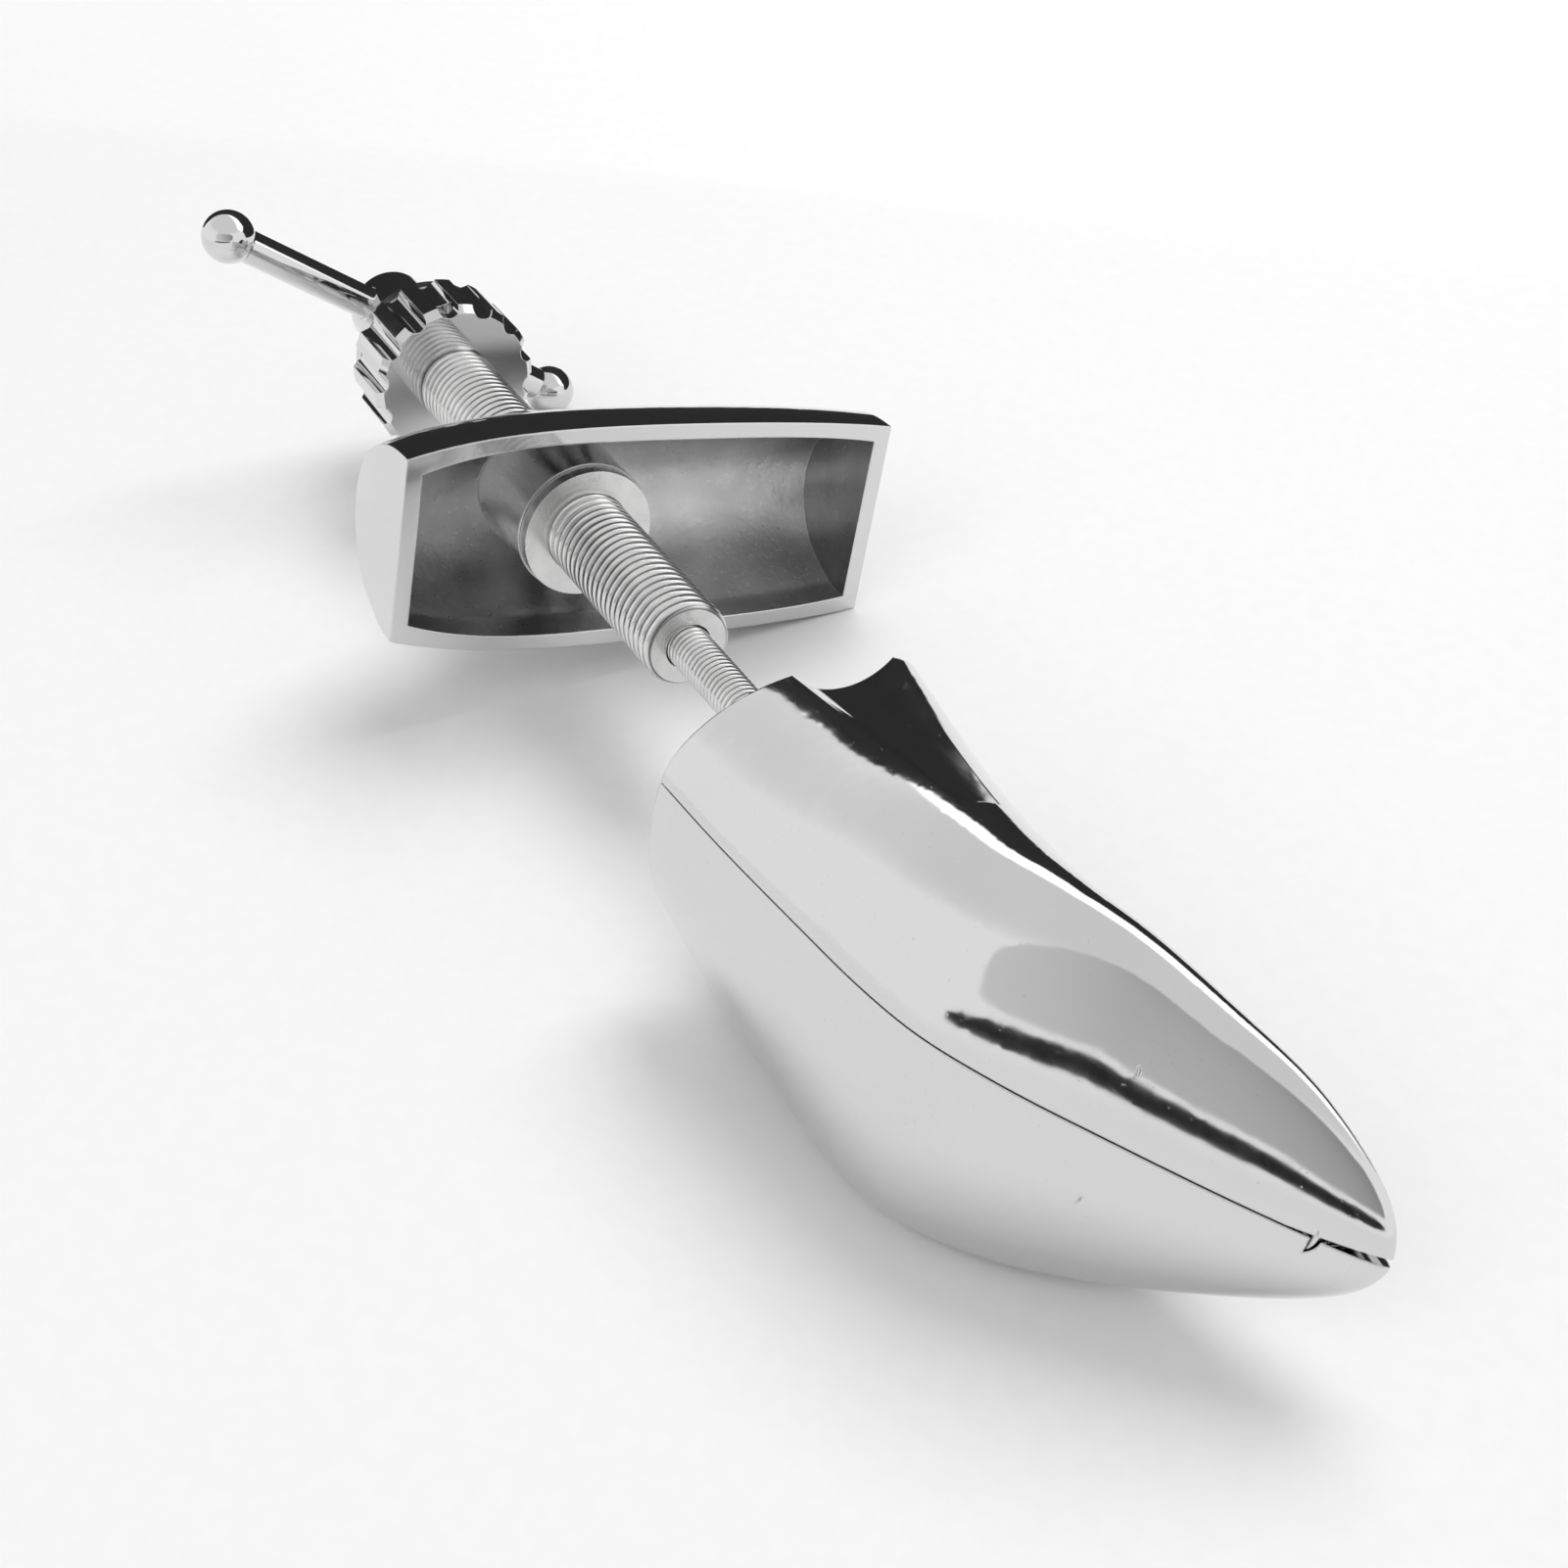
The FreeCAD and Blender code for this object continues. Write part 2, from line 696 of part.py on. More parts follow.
def spindle_rod():
    """The long threaded rod, at its thread's outer size."""
    shape = revolved([
        (rod_rear, 0),
        (rod_rear, rod_radius - rod_chamfer),
        (rod_rear + rod_chamfer, rod_radius),
        (rod_in_toe - rod_chamfer, rod_radius),
        (rod_in_toe, rod_radius - rod_chamfer),
        (rod_in_toe, 0),
    ])
    for name in cross_pin_places():
        shape = shape.cut(cross_hole(name))
    return shape


def front_thrust_washer():
    """The washer between the collar and the bush."""
    return tube(thrust_washer_radius, rod_bore, thrust_washer_start, collar_start)


def front_collar():
    """The collar that takes the rod's push inside the toe."""
    return tube(collar_radius, rod_radius, collar_start, collar_end).cut(cross_hole("front_collar_pin"))


def wedge():
    """The threaded block that runs along the rod: a ramp above, a slot over the rail's tongue below."""
    crest = wedge_nose - presser_from_nose - wedge_travel
    crest_height = wedge_nose_height + (wedge_nose - crest) * wedge_slope
    outline = [
        Vector(wedge_start, 0, -wedge_base),
        Vector(wedge_nose, 0, -wedge_base),
        Vector(wedge_nose, 0, wedge_nose_height),
        Vector(crest, 0, crest_height),
        Vector(wedge_start, 0, crest_height),
    ]
    face = Part.Face(Part.makePolygon(outline + outline[:1]))
    shape = face.extrude(Vector(0, 2 * wedge_half_width, 0)).translated(Vector(0, -wedge_half_width, 0))
    ends = (wedge_start - overrun, wedge_nose + overrun)
    slot_half_width = tongue_half_width + rail_gap
    slot = block(ends, (-slot_half_width, slot_half_width), (-wedge_base - overrun, -wedge_base + tongue_height))
    return shape.cut(slot).cut(cylinder(rod_bore, *ends))


# Sleeve and heel


def length_sleeve():
    """The threaded tube that carries the heel, with a plain neck for the wheel."""
    bore = rod_radius + sleeve_bore_clearance
    shape = revolved([
        (sleeve_front, bore),
        (sleeve_front, sleeve_radius - sleeve_chamfer),
        (sleeve_front - sleeve_chamfer, sleeve_radius),
        (wheel_front, sleeve_radius),
        (wheel_front, sleeve_neck_radius),
        (sleeve_rear, sleeve_neck_radius),
        (sleeve_rear, bore),
    ])
    return shape.cut(grub_screw())


def heel_section(place, half_width, depth, skirt=0.0):
    """Closed outline across the heel: an arch to the rear, closed along the open edge."""
    points = []
    for step in range(section_steps + 1):
        turn = math.pi * step / section_steps
        side = 1 if 2 * step <= section_steps else -1
        z = side * half_width * raised(abs(math.cos(turn)), heel_roundness)
        points.append(Vector(heel_front - depth * raised(math.sin(turn), heel_roundness), place, z))
    arc = Part.BSplineCurve()
    arc.interpolate(points, InitialTangent=-X_AXIS, FinalTangent=X_AXIS)
    corners = [points[-1], points[0]]
    if skirt:
        reach = Vector(skirt, 0, 0)
        corners = [points[-1], points[-1] + reach, points[0] + reach, points[0]]
    lines = [Part.makeLine(start, end) for start, end in zip(corners, corners[1:])]
    return Part.Wire([arc.toShape()] + lines)


def heel_rows():
    """Place, half width and depth of each section, from the base to the top."""
    rows = [(heel_reach * place, heel_half_width * width, heel_depth * depth)
            for place, width, depth in heel_base_shares]
    rows += [(-heel_top * place, heel_half_width * width, heel_depth * depth)
             for place, width, depth in heel_top_shares]
    return rows


def heel_hollow():
    """The hollow of the heel, open towards the toe."""
    rows = heel_rows()
    ends = {rows[0][0]: -heel_end_wall, rows[-1][0]: heel_end_wall}
    return Part.makeLoft([heel_section(place + ends.get(place, 0), half_width - heel_wall, depth - heel_wall,
                                       overrun) for place, half_width, depth in rows], True)


def heel_shell():
    """The heel's casting: a hollow arch with a boss for the threaded bush."""
    shell = Part.makeLoft([heel_section(*row) for row in heel_rows()], True).cut(heel_hollow())
    inner_boss = cylinder(boss_radius, boss_front, heel_back + heel_wall / 2)
    tail_length = boss_radius - boss_tail_radius + boss_tail_length
    tail = Part.makeCone(boss_radius, boss_tail_radius, tail_length, Vector(boss_end + tail_length, 0, 0), -X_AXIS)
    shell = shell.fuse([inner_boss, tail])
    shell = shell.cut(cylinder(nut_radius + running_clearance, boss_end + boss_lip, heel_front + overrun))
    return shell.cut(cylinder(sleeve_radius + sleeve_bore_clearance, boss_end - overrun, heel_front))


def heel_nut():
    """The flanged threaded bush in the heel's boss."""
    tail = boss_end + boss_lip + end_play
    flange = boss_front + end_play
    return revolved([
        (tail, sleeve_radius + running_clearance),
        (tail, nut_radius),
        (flange, nut_radius),
        (flange, nut_flange_radius),
        (flange + nut_flange_length, nut_flange_radius),
        (flange + nut_flange_length, sleeve_radius + running_clearance),
    ])


# Hand wheel on the sleeve


def grub_screw():
    """The screw that locks the wheel on the sleeve's neck, along Z."""
    x = wheel_front - sleeve_neck_length / 2
    low = (sleeve_neck_radius + rod_radius + sleeve_bore_clearance) / 2
    return post(grub_radius, x, 0, low, wheel_radius - wheel_groove_radius - wheel_rim_chamfer)


def cap_screw_centres():
    """Places of the cap's screws on their circle, as pairs of Y and Z."""
    turns = [math.pi / 2 + 2 * math.pi * number / cap_screw_count for number in range(cap_screw_count)]
    return [(cap_screw_circle * math.cos(turn), cap_screw_circle * math.sin(turn)) for turn in turns]


def cap_screw_holes():
    """The holes for the cap's screws, in the cap and in the wheel."""
    start = wheel_rear + cap_screw_length
    return [cylinder(cap_screw_radius, start, cap_rear - overrun, y, z) for y, z in cap_screw_centres()]


def length_wheel():
    """The grooved wheel that turns the sleeve, hollowed at the rear for the rod's collar."""
    shape = revolved([
        (wheel_front, sleeve_neck_radius),
        (wheel_front, wheel_radius - wheel_rim_chamfer),
        (wheel_front - wheel_rim_chamfer, wheel_radius),
        (wheel_rear + wheel_rim_chamfer, wheel_radius),
        (wheel_rear, wheel_radius - wheel_rim_chamfer),
        (wheel_rear, wheel_pocket_radius),
        (sleeve_rear, wheel_pocket_radius),
        (sleeve_rear, sleeve_neck_radius),
    ])
    for number in range(wheel_grooves):
        turn = 2 * math.pi * (number + 0.5) / wheel_grooves
        groove = cylinder(wheel_groove_radius, wheel_rear - overrun, wheel_front + overrun,
                          wheel_radius * math.cos(turn), wheel_radius * math.sin(turn))
        shape = shape.cut(groove)
    return shape.cut(cap_screw_holes()).cut(post(grub_radius, grub_screw().CenterOfMass.x, 0, 0, wheel_radius))


def rear_collar():
    """The collar on the rod that the wheel and its cap hold between them."""
    return tube(rear_collar_radius, rod_radius, rear_collar_end, rear_collar_front).cut(cross_hole("rear_collar_pin"))


def rear_washers():
    """The washers on the two sides of the rear collar."""
    spans = ((rear_collar_front, rear_washer_front), (rear_washer_end, rear_collar_end))
    return Part.makeCompound([tube(rear_collar_radius, rod_bore, low, high) for low, high in spans])


def wheel_cap():
    """The plate that closes the wheel behind the rod's collar."""
    plate = tube(cap_radius, rod_radius + sleeve_bore_clearance, cap_rear, wheel_rear)
    return plate.cut(cap_screw_holes())


def wheel_cap_screws():
    """The small screws of the cap."""
    screws = []
    for y, z in cap_screw_centres():
        shank = cylinder(cap_screw_radius, cap_rear, wheel_rear + cap_screw_length, y, z)
        screws.append(shank.fuse(cylinder(cap_head_radius, cap_rear - cap_head_height, cap_rear, y, z)))
    return Part.makeCompound(screws)


# Handle on the rod


def handle_hub():
    """The round hub pinned to the rod's rear end, bored across for the bar."""
    shape = revolved([
        (hub_rear, 0),
        (hub_rear, hub_radius - hub_chamfer),
        (hub_rear + hub_chamfer, hub_radius),
        (hub_front - hub_chamfer, hub_radius),
        (hub_front, hub_radius - hub_chamfer),
        (hub_front, 0),
    ])
    shape = shape.cut(cylinder(rod_radius, rod_rear, hub_front + overrun)).cut(cross_hole("hub_pin"))
    return shape.cut(Part.makeCylinder(bar_radius, 2 * hub_radius + 2 * overrun,
                                       Vector(bar_x, -hub_radius - overrun, 0), Y_AXIS))


def handle_bar():
    """The bar across the hub."""
    return Part.makeCylinder(bar_radius, 2 * bar_half_length, Vector(bar_x, -bar_half_length, 0), Y_AXIS)


def ball_reach():
    """From the spindle to the middle of each ball on the bar."""
    return bar_half_length - ball_socket + math.sqrt(ball_radius ** 2 - bar_radius ** 2)


def bar_balls():
    """The two round ends of the bar."""
    balls = [Part.makeSphere(ball_radius, Vector(bar_x, side * ball_reach(), 0)) for side in (-1, 1)]
    return Part.makeCompound([ball.cut(handle_bar()) for ball in balls])


# Assembly


def heel_roll(axis_height):
    """Angle at which the heel, turned down about the spindle, comes to rest on the table."""
    half_base = heel_half_width * heel_base_shares[0][1]
    corner = math.hypot(heel_reach, half_base)
    return math.degrees(math.asin(axis_height / corner) - math.atan2(half_base, heel_reach))


def handle_roll(axis_height):
    """Angle at which the handle, turned down about the spindle, rests one ball on the table."""
    return math.degrees(math.asin((axis_height - ball_radius) / ball_reach()))


def rolled(shape, angle):
    """A shape turned about the spindle."""
    return shape.rotated(ORIGIN, X_AXIS, angle)


def spindle_pieces():
    """The pieces that turn with the rod."""
    shapes = {
        "spindle_rod": spindle_rod(),
        "front_thrust_washer": front_thrust_washer(),
        "front_collar": front_collar(),
        "rear_collar": rear_collar(),
        "handle_hub": handle_hub(),
        "handle_bar": handle_bar(),
        "bar_balls": bar_balls(),
    }
    shapes.update({name: cross_pin(name) for name in cross_pin_places()})
    return shapes


def toe_pieces():
    """The pieces that lie turned with the toe, before they are turned."""
    return {
        "toe_lower_half": toe_lower_half(),
        "toe_upper_half": toe_upper_half(),
        "hinge_pin": hinge_pin(),
        "bearing_block": bearing_block(),
        "thrust_bush": thrust_bush(),
        "bush_spacer": bush_spacer(),
        "bush_lock_nut": bush_lock_nut(),
        "bearing_screws": bearing_screws(),
        "bearing_washers": bearing_washers(),
        "wedge": wedge(),
        "closing_spring": closing_spring(),
        "upper_spring_anchor": spring_anchor(INNER),
        "lower_spring_anchor": mirrored(spring_anchor(OUTER)),
    }


def pieces():
    """Every piece by name, about the spindle, with the spindle's height above the table."""
    shapes = {name: rolled(shape, -toe_roll) for name, shape in toe_pieces().items()}
    axis_height = -shapes["toe_lower_half"].optimalBoundingBox().ZMin
    shapes.update({
        "length_sleeve": length_sleeve(),
        "heel_shell": rolled(heel_shell(), -heel_roll(axis_height)),
        "heel_nut": heel_nut(),
        "length_wheel": length_wheel(),
        "wheel_grub_screw": grub_screw(),
        "rear_washers": rear_washers(),
        "wheel_cap": wheel_cap(),
        "wheel_cap_screws": wheel_cap_screws(),
    })
    turn = handle_roll(axis_height)
    shapes.update({name: rolled(shape, -turn) for name, shape in spindle_pieces().items()})
    return shapes, axis_height


def middle_offset(shapes):
    """Move that brings the middle of the whole object's base to the origin."""
    box = Part.makeCompound(list(shapes.values())).optimalBoundingBox()
    return Vector(-(box.XMin + box.XMax) / 2, -(box.YMin + box.YMax) / 2, -box.ZMin)


def main():
    """Builds every piece and writes one file for each."""
    os.makedirs("parts", exist_ok=True)
    shapes, _ = pieces()
    offset = middle_offset(shapes)
    print("least gap between the spring's turns: %.2f mm" % spring_self_gap())
    for name, shape in shapes.items():
        shape.translated(offset).exportStep(os.path.join("parts", name + ".step"))


if __name__ == "__main__":
    main()
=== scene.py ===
"""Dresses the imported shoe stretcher: threads, slotted screws, chrome, turned steel and a white table."""

import json
import math
from collections import namedtuple

import bmesh
import bpy
from bpy.props import FloatProperty, FloatVectorProperty, IntProperty, PointerProperty
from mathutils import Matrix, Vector
from mathutils.bvhtree import BVHTree


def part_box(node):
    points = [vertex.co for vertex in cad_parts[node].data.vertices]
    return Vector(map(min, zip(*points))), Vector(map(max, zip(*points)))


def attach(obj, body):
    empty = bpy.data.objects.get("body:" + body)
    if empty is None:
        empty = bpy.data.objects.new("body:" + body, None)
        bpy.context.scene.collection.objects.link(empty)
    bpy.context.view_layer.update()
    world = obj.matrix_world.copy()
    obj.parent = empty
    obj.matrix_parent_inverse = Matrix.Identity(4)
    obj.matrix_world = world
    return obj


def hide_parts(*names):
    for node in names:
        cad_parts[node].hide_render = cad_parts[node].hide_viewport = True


bl_info = {
    "name": "Shoe stretcher dressing",
    "version": (1, 0, 0),
    "blender": (4, 5, 0),
    "location": "3D View > Sidebar > Stretcher",
    "description": "Gives a packed shoe stretcher its threads, finishes and studio",
    "category": "Object",
}

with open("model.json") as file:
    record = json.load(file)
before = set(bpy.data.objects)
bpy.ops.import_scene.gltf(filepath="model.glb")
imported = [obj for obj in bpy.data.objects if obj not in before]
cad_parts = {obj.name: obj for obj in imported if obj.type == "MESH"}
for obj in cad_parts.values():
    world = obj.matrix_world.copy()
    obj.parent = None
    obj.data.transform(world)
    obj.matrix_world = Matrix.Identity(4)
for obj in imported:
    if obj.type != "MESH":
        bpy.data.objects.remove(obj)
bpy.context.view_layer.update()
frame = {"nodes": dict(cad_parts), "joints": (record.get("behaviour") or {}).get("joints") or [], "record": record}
MM = 0.001
FULL_TURN = 2 * math.pi


def joint_place(name):
    """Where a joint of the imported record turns, in the row frame."""
    return Vector(next(joint["pos_m"] for joint in frame["joints"] if joint["name"] == name))


def nodes_of(slot):
    """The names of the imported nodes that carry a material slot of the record."""
    return [part["node"] for part in frame["record"]["subparts"] if part["material_slot"] == slot]


AXIS = joint_place("spindle_turn")
TOE_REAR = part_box("toe_lower_half")[0].x

# Middles of the hollows, measured from the spindle
TOE_HOLLOW_Y = 8 * MM
HEEL_HOLLOW_Z = -3 * MM

# One turn of a thread: shares of the pitch, and of the depth below the crest
THREAD_FORM = ((0.00, 0.10), (0.08, 0.0), (0.54, 0.0), (0.62, 0.10), (0.78, 0.94), (0.85, 0.94))

# The cap's screws, and the angles at which their slots happen to stand
CAP_SCREWS = 3
FIRST_LEAN = 0.4
NEXT_LEAN = 1.3

# The flare's curve: its pulls at the rim and the edge as shares of its span, and its slope at the rim
RIM_PULL = 0.35
RIM_SLOPE = 0.5
EDGE_PULL = 0.5

# The flare's hidden underside in the heel's wall: forwards, and outwards from the flare's edge or rim
UNDER_EDGE = (1.0 * MM, -0.5 * MM)
UNDER_RIM = (6.5 * MM, 1.5 * MM)

# The step over which the slope of the heel's back is measured
PROBE = 0.5 * MM

# Points nearer than the first are joined, and edges sharper than the second stay sharp
WELD = 1e-7
SHARP = math.radians(38)

# Marks on the metals, the black ring and the table: about how wide each is
WAVE = 9 * MM
SCRATCH = 1.2 * MM
PIT = 0.35 * MM
SMUDGE = 14 * MM
SAND = 0.7 * MM
BLOTCH = 8 * MM
MOTTLE = 2.5 * MM
FINE_GRAIN = 0.3 * MM
RING_GRAIN = 0.4 * MM
DUST = 3 * MM
SPECK = 2 * MM

# Length of one wave of the wave texture at scale 1
WAVE_LENGTH = math.pi / 10

# Heights of the two dark cards above the table, measured from the spindle
FAR_LEVEL = 0.15 - AXIS.z
NEAR_LEVEL = 0.06 - AXIS.z

# Cards that the metal shows: place and aim from the spindle at the toe's rear, size, and start of the fade
Card = namedtuple("Card", "place aim size firm")
CARDS = {
    "ceiling_card": Card((0.0, 0.0, 1.6), (0.0, 0.0, 0.0), (5.0, 5.0), 0.1),
    "stripe_card": Card((-0.40, 1.15, 1.15), (0.0, 0.0, 0.0), (3.4, 1.25), 0.7),
    "far_card": Card((-0.20, 0.24, FAR_LEVEL), (0.06, 0.01, FAR_LEVEL), (1.3, 0.30), 0.85),
    "opening_card": Card((0.85, -0.62, 0.46), (0.0, 0.0, 0.0), (1.9, 0.72), 0.7),
    "near_card": Card((0.75, -0.75, NEAR_LEVEL), (0.0, 0.0, NEAR_LEVEL), (1.6, 0.11), 0.85),
}

# Power of the curve that rounds the cards' corners
CARD_POWER = 4.0


# Settings


def length(name, description, default):
    """A size that a user can change, in metres."""
    return FloatProperty(name=name, description=description, default=default, min=0.0,
                         unit="LENGTH", precision=5)


def share(name, description, default, high=1.0):
    """A share or a brightness that a user can change."""
    return FloatProperty(name=name, description=description, default=default, min=0.0, max=high,
                         subtype="FACTOR")


def power(name, description, default):
    """The power of a lamp that a user can change, in watts."""
    return FloatProperty(name=name, description=description, default=default, min=0.0, unit="POWER")


def tint(name, description, default):
    """A colour that a user can change."""
    return FloatVectorProperty(name=name, description=description, default=default, size=3,
                               min=0.0, max=1.0, subtype="COLOR")


def spot(name, description, default):
    """A place that a user can change, in metres."""
    return FloatVectorProperty(name=name, description=description, default=default, size=3,
                               subtype="TRANSLATION")


def extent(name, description, default):
    """A width and a height that a user can change, in metres."""
    return FloatVectorProperty(name=name, description=description, default=default, size=2,
                               min=0.0, unit="LENGTH")


def face_count(name, description, default):
    """A number of faces, at least 12, that a user can change."""
    return IntProperty(name=name, description=description, default=default, min=12)


class StretcherSizes(bpy.types.PropertyGroup):
    """Sizes of the threads, the screw heads and the heel's flare."""
    rod_pitch: length("Rod pitch", "Pitch of the spindle rod's thread", 1.25 * MM)
    rod_depth: length("Rod thread depth", "Depth of the spindle rod's thread", 0.52 * MM)
    rod_hidden: length("Hidden rod thread", "How far the rod's thread runs into the sleeve", 14 * MM)
    sleeve_pitch: length("Sleeve pitch", "Pitch of the length sleeve's thread", 2.0 * MM)
    sleeve_depth: length("Sleeve thread depth", "Depth of the length sleeve's thread", 0.80 * MM)
    sleeve_bore: length("Sleeve bore", "Radius of the bore through the sleeve", 4.25 * MM)
    sleeve_neck: length("Sleeve neck", "Radius of the plain neck under the hand wheel", 6.8 * MM)
    end_bevel: length("Thread end bevel", "How far a thread's end is turned down below its roots", 0.1 * MM)
    slot_width: length("Slot width", "Width of the slot in a cap screw's head", 0.5 * MM)
    slot_depth: length("Slot depth", "Depth of the slot in a cap screw's head", 0.55 * MM)
    screw_shank: length("Screw shank", "Radius of a cap screw's shank", 1.0 * MM)
    screw_dome: length("Screw dome", "How far the rim of a cap screw's head is rounded off", 0.3 * MM)
    flare_rim: length("Flare rim", "Radius of the heel's boss where its flare starts", 10.4 * MM)
    flare_lip: length("Flare lip", "Plain end of the boss behind its flare", 0.6 * MM)
    flare_long: length("Flare length", "How far the flare reaches towards the heel's base and top", 24 * MM)
    flare_wide: length("Flare width", "How far the flare reaches towards the heel's sides", 17.5 * MM)
    flare_sink: length("Flare sink", "How deep the flare's edge lies in the heel", 0.03 * MM)
    rod_steps: face_count("Rod steps", "Faces round the rod's thread", 40)
    sleeve_steps: face_count("Sleeve steps", "Faces round the sleeve's thread", 64)
    screw_steps: face_count("Screw steps", "Faces round half of a cap screw's head", 14)
    flare_steps: face_count("Flare steps", "Faces round the heel's flare", 96)
    flare_rows: face_count("Flare rows", "Faces from the flare's rim to its edge", 14)


class StretcherFinishes(bpy.types.PropertyGroup):
    """Colours and polish of the metals, and of the black ring that is painted shadow in the gap behind the bush's
    flange.
    """
    chrome: tint("Chrome", "Colour of the polished castings", (0.70, 0.70, 0.70))
    as_cast: tint("As cast", "Colour of the castings' unpolished insides", (0.55, 0.55, 0.55))
    thread: tint("Thread", "Colour of the threaded steel", (0.76, 0.76, 0.755))
    turned: tint("Turned steel", "Colour of the turned pieces", (0.72, 0.72, 0.715))
    fastener: tint("Fasteners", "Colour of screws, pins and the spring", (0.74, 0.74, 0.75))
    # Painted shade: a dark colour laid into the threads' roots, where shade falls
    painted_root_shade: tint("Painted root shade", "Colour that gathers in roots and grooves", (0.10, 0.10, 0.10))
    # Painted shadow: the black ring fills the shadowed gap behind the bush's flange
    gap_shadow_colour: tint("Black ring", "Colour of the black ring", (0.012, 0.012, 0.013))
    polish: share("Polish", "Roughness of clean chrome", 0.035)
    haze: share("Haze", "Roughness that fine scratches add to chrome", 0.07)
    # The crest share is the part of a thread's depth that the painted shade in its roots doesn't reach
    crest: share("Clean crest", "Share of a thread's depth, from its crest, that stays clean", 0.35)
    cast_wave: length("Casting waves", "Height of the polishing waves on the castings", 0.022 * MM)
    handle_wave: length("Handle waves", "Height of the polishing waves on the handles", 0.012 * MM)
    edge: length("Soft edge", "Radius over which the castings' edges are polished away", 0.45 * MM)
    handle_edge: length("Handle edge", "Radius over which the handles' edges are polished away", 0.3 * MM)
    steel_edge: length("Steel edge", "Radius over which the edges of steel pieces are broken", 0.2 * MM)


class StretcherStudio(bpy.types.PropertyGroup):
    """The table, the lamps, the cards and the camera."""
    table: tint("Table", "Colour of the table top", (0.90, 0.90, 0.90))
    table_half: length("Table size", "Half of the table's width", 2.5)
    table_near: length("Lit table", "How far from the object the table shows its light and shadow", 0.30)
    table_far: length("White table", "How far from the object the table is plain white", 0.80)
    fill: share("Fill", "Light from all round on the object", 0.50)
    key_power: power("Key lamp", "Power of the large lamp behind the object", 15.0)
    key_place: spot("Key lamp place", "Where the large lamp hangs", (-0.40, 0.65, 1.45))
    key_size: extent("Key lamp size", "Width and height of the large lamp", (1.1, 0.9))
    side_power: power("Side lamp", "Power of the lamp on the camera's side", 4.0)
    side_place: spot("Side lamp place", "Where the lamp on the camera's side hangs", (0.55, -0.9, 0.9))
    side_size: extent("Side lamp size", "Width and height of the lamp on the camera's side", (0.9, 0.9))
    stripe: share("Stripe", "Brightness of the long white card that the metal shows", 1.6, high=10.0)
    ceiling: share("Ceiling", "Brightness of the ceiling that the metal shows", 0.80)
    opening: share("Opening", "Brightness of the grey side behind the camera that the metal shows", 0.72)
    opening_fade: share("Opening fade", "Brightness at the grey side's far end, as a share", 0.45)
    far_dark: share("Far side", "Brightness of the dark far side that the metal shows", 0.03)
    near_dark: share("Near strip", "Brightness of the dark strip on the camera's side", 0.02)
    near: spot("Camera place", "The camera from the spindle at the toe's rear face",
               (277.8 * MM, -147.6 * MM, 229.4 * MM))
    aim: spot("Camera aim", "What the camera looks at, from the same place", (-10 * MM, 0.0, -6 * MM))
    angle: FloatProperty(name="Angle of view", description="Width of the camera's view",
                         default=math.radians(35.5), subtype="ANGLE")


# Meshes


def ring_point(x, radius, turn):
    """A point about the spindle."""
    return x, AXIS.y + radius * math.cos(turn), AXIS.z + radius * math.sin(turn)


def turned_skin(mesh, profile, steps):
    """Adds a skin turned about the spindle from points given as (x, radius)."""
    rings = [[mesh.verts.new(ring_point(x, radius, FULL_TURN * step / steps)) for step in range(steps)]
             for x, radius in profile]
    for first, second in zip(rings, rings[1:]):
        for step in range(steps):
            after = (step + 1) % steps
            mesh.faces.new((first[step], first[after], second[after], second[step]))


def thread_skin(mesh, ends, crest, depth, pitch, end_radius, steps):
    """Adds a right-handed thread about the spindle, turned down to a radius at both of its ends."""
    start, end = ends
    count = len(THREAD_FORM)
    rows = (math.ceil((end - start) / pitch) + 1) * count

    def corner(row, step):
        along, below = THREAD_FORM[row % count]
        x = start + (row // count - 1 + along + step / steps) * pitch
        x = min(max(x, start), end)
        radius = min(crest - below * depth, end_radius + x - start, end_radius + end - x)
        return ring_point(x, radius, FULL_TURN * step / steps)

    grid = [[mesh.verts.new(corner(row, step)) for step in range(steps)] for row in range(rows + count + 1)]
    # A full turn leads to the same row of the next turn
    for row in range(rows):
        for step in range(steps):
            after, ahead = (step + 1, row) if step + 1 < steps else (0, row + count)
            mesh.faces.new((grid[row][step], grid[ahead][after],
                            grid[ahead + 1][after], grid[row + 1][step]))


def slotted_screw(mesh, centre, heights, radius, sizes, lean):
    """Adds a screw along the spindle: a head whose slot lies at an angle, and a shank."""
    top, base, end = heights
    bite = math.asin(sizes.slot_width / 2 / radius)
    steps = sizes.screw_steps
    moon = [bite + (math.pi - 2 * bite) * step / steps for step in range(steps + 1)]
    outline = moon + [math.pi + turn for turn in moon]
    count = len(outline)
    half = len(moon)

    def ring(x, size):
        return [mesh.verts.new((x, centre[0] + size * math.cos(lean + turn),
                                centre[1] + size * math.sin(lean + turn))) for turn in outline]

    floor = ring(top + sizes.slot_depth, radius)
    head = ring(base, radius)
    shoulder = ring(top + sizes.screw_dome, radius)
    crown = ring(top, radius - sizes.screw_dome)
    neck = ring(base, sizes.screw_shank)
    tail = ring(end, sizes.screw_shank)
    for lower, upper in ((floor, head), (head, neck), (neck, tail)):
        for step in range(count):
            after = (step + 1) % count
            mesh.faces.new((lower[step], lower[after], upper[after], upper[step]))
    for start in (0, half):
        last = start + half - 1
        for lower, upper in ((crown, shoulder), (shoulder, floor)):
            for step in range(start, last):
                mesh.faces.new((lower[step], lower[step + 1], upper[step + 1], upper[step]))
        mesh.faces.new(crown[start:last + 1])
        mesh.faces.new((crown[start], crown[last], shoulder[last],
                        floor[last], floor[start], shoulder[start]))
    mesh.faces.new((floor[0], floor[half - 1], floor[half], floor[count - 1]))
    mesh.faces.new(tail)


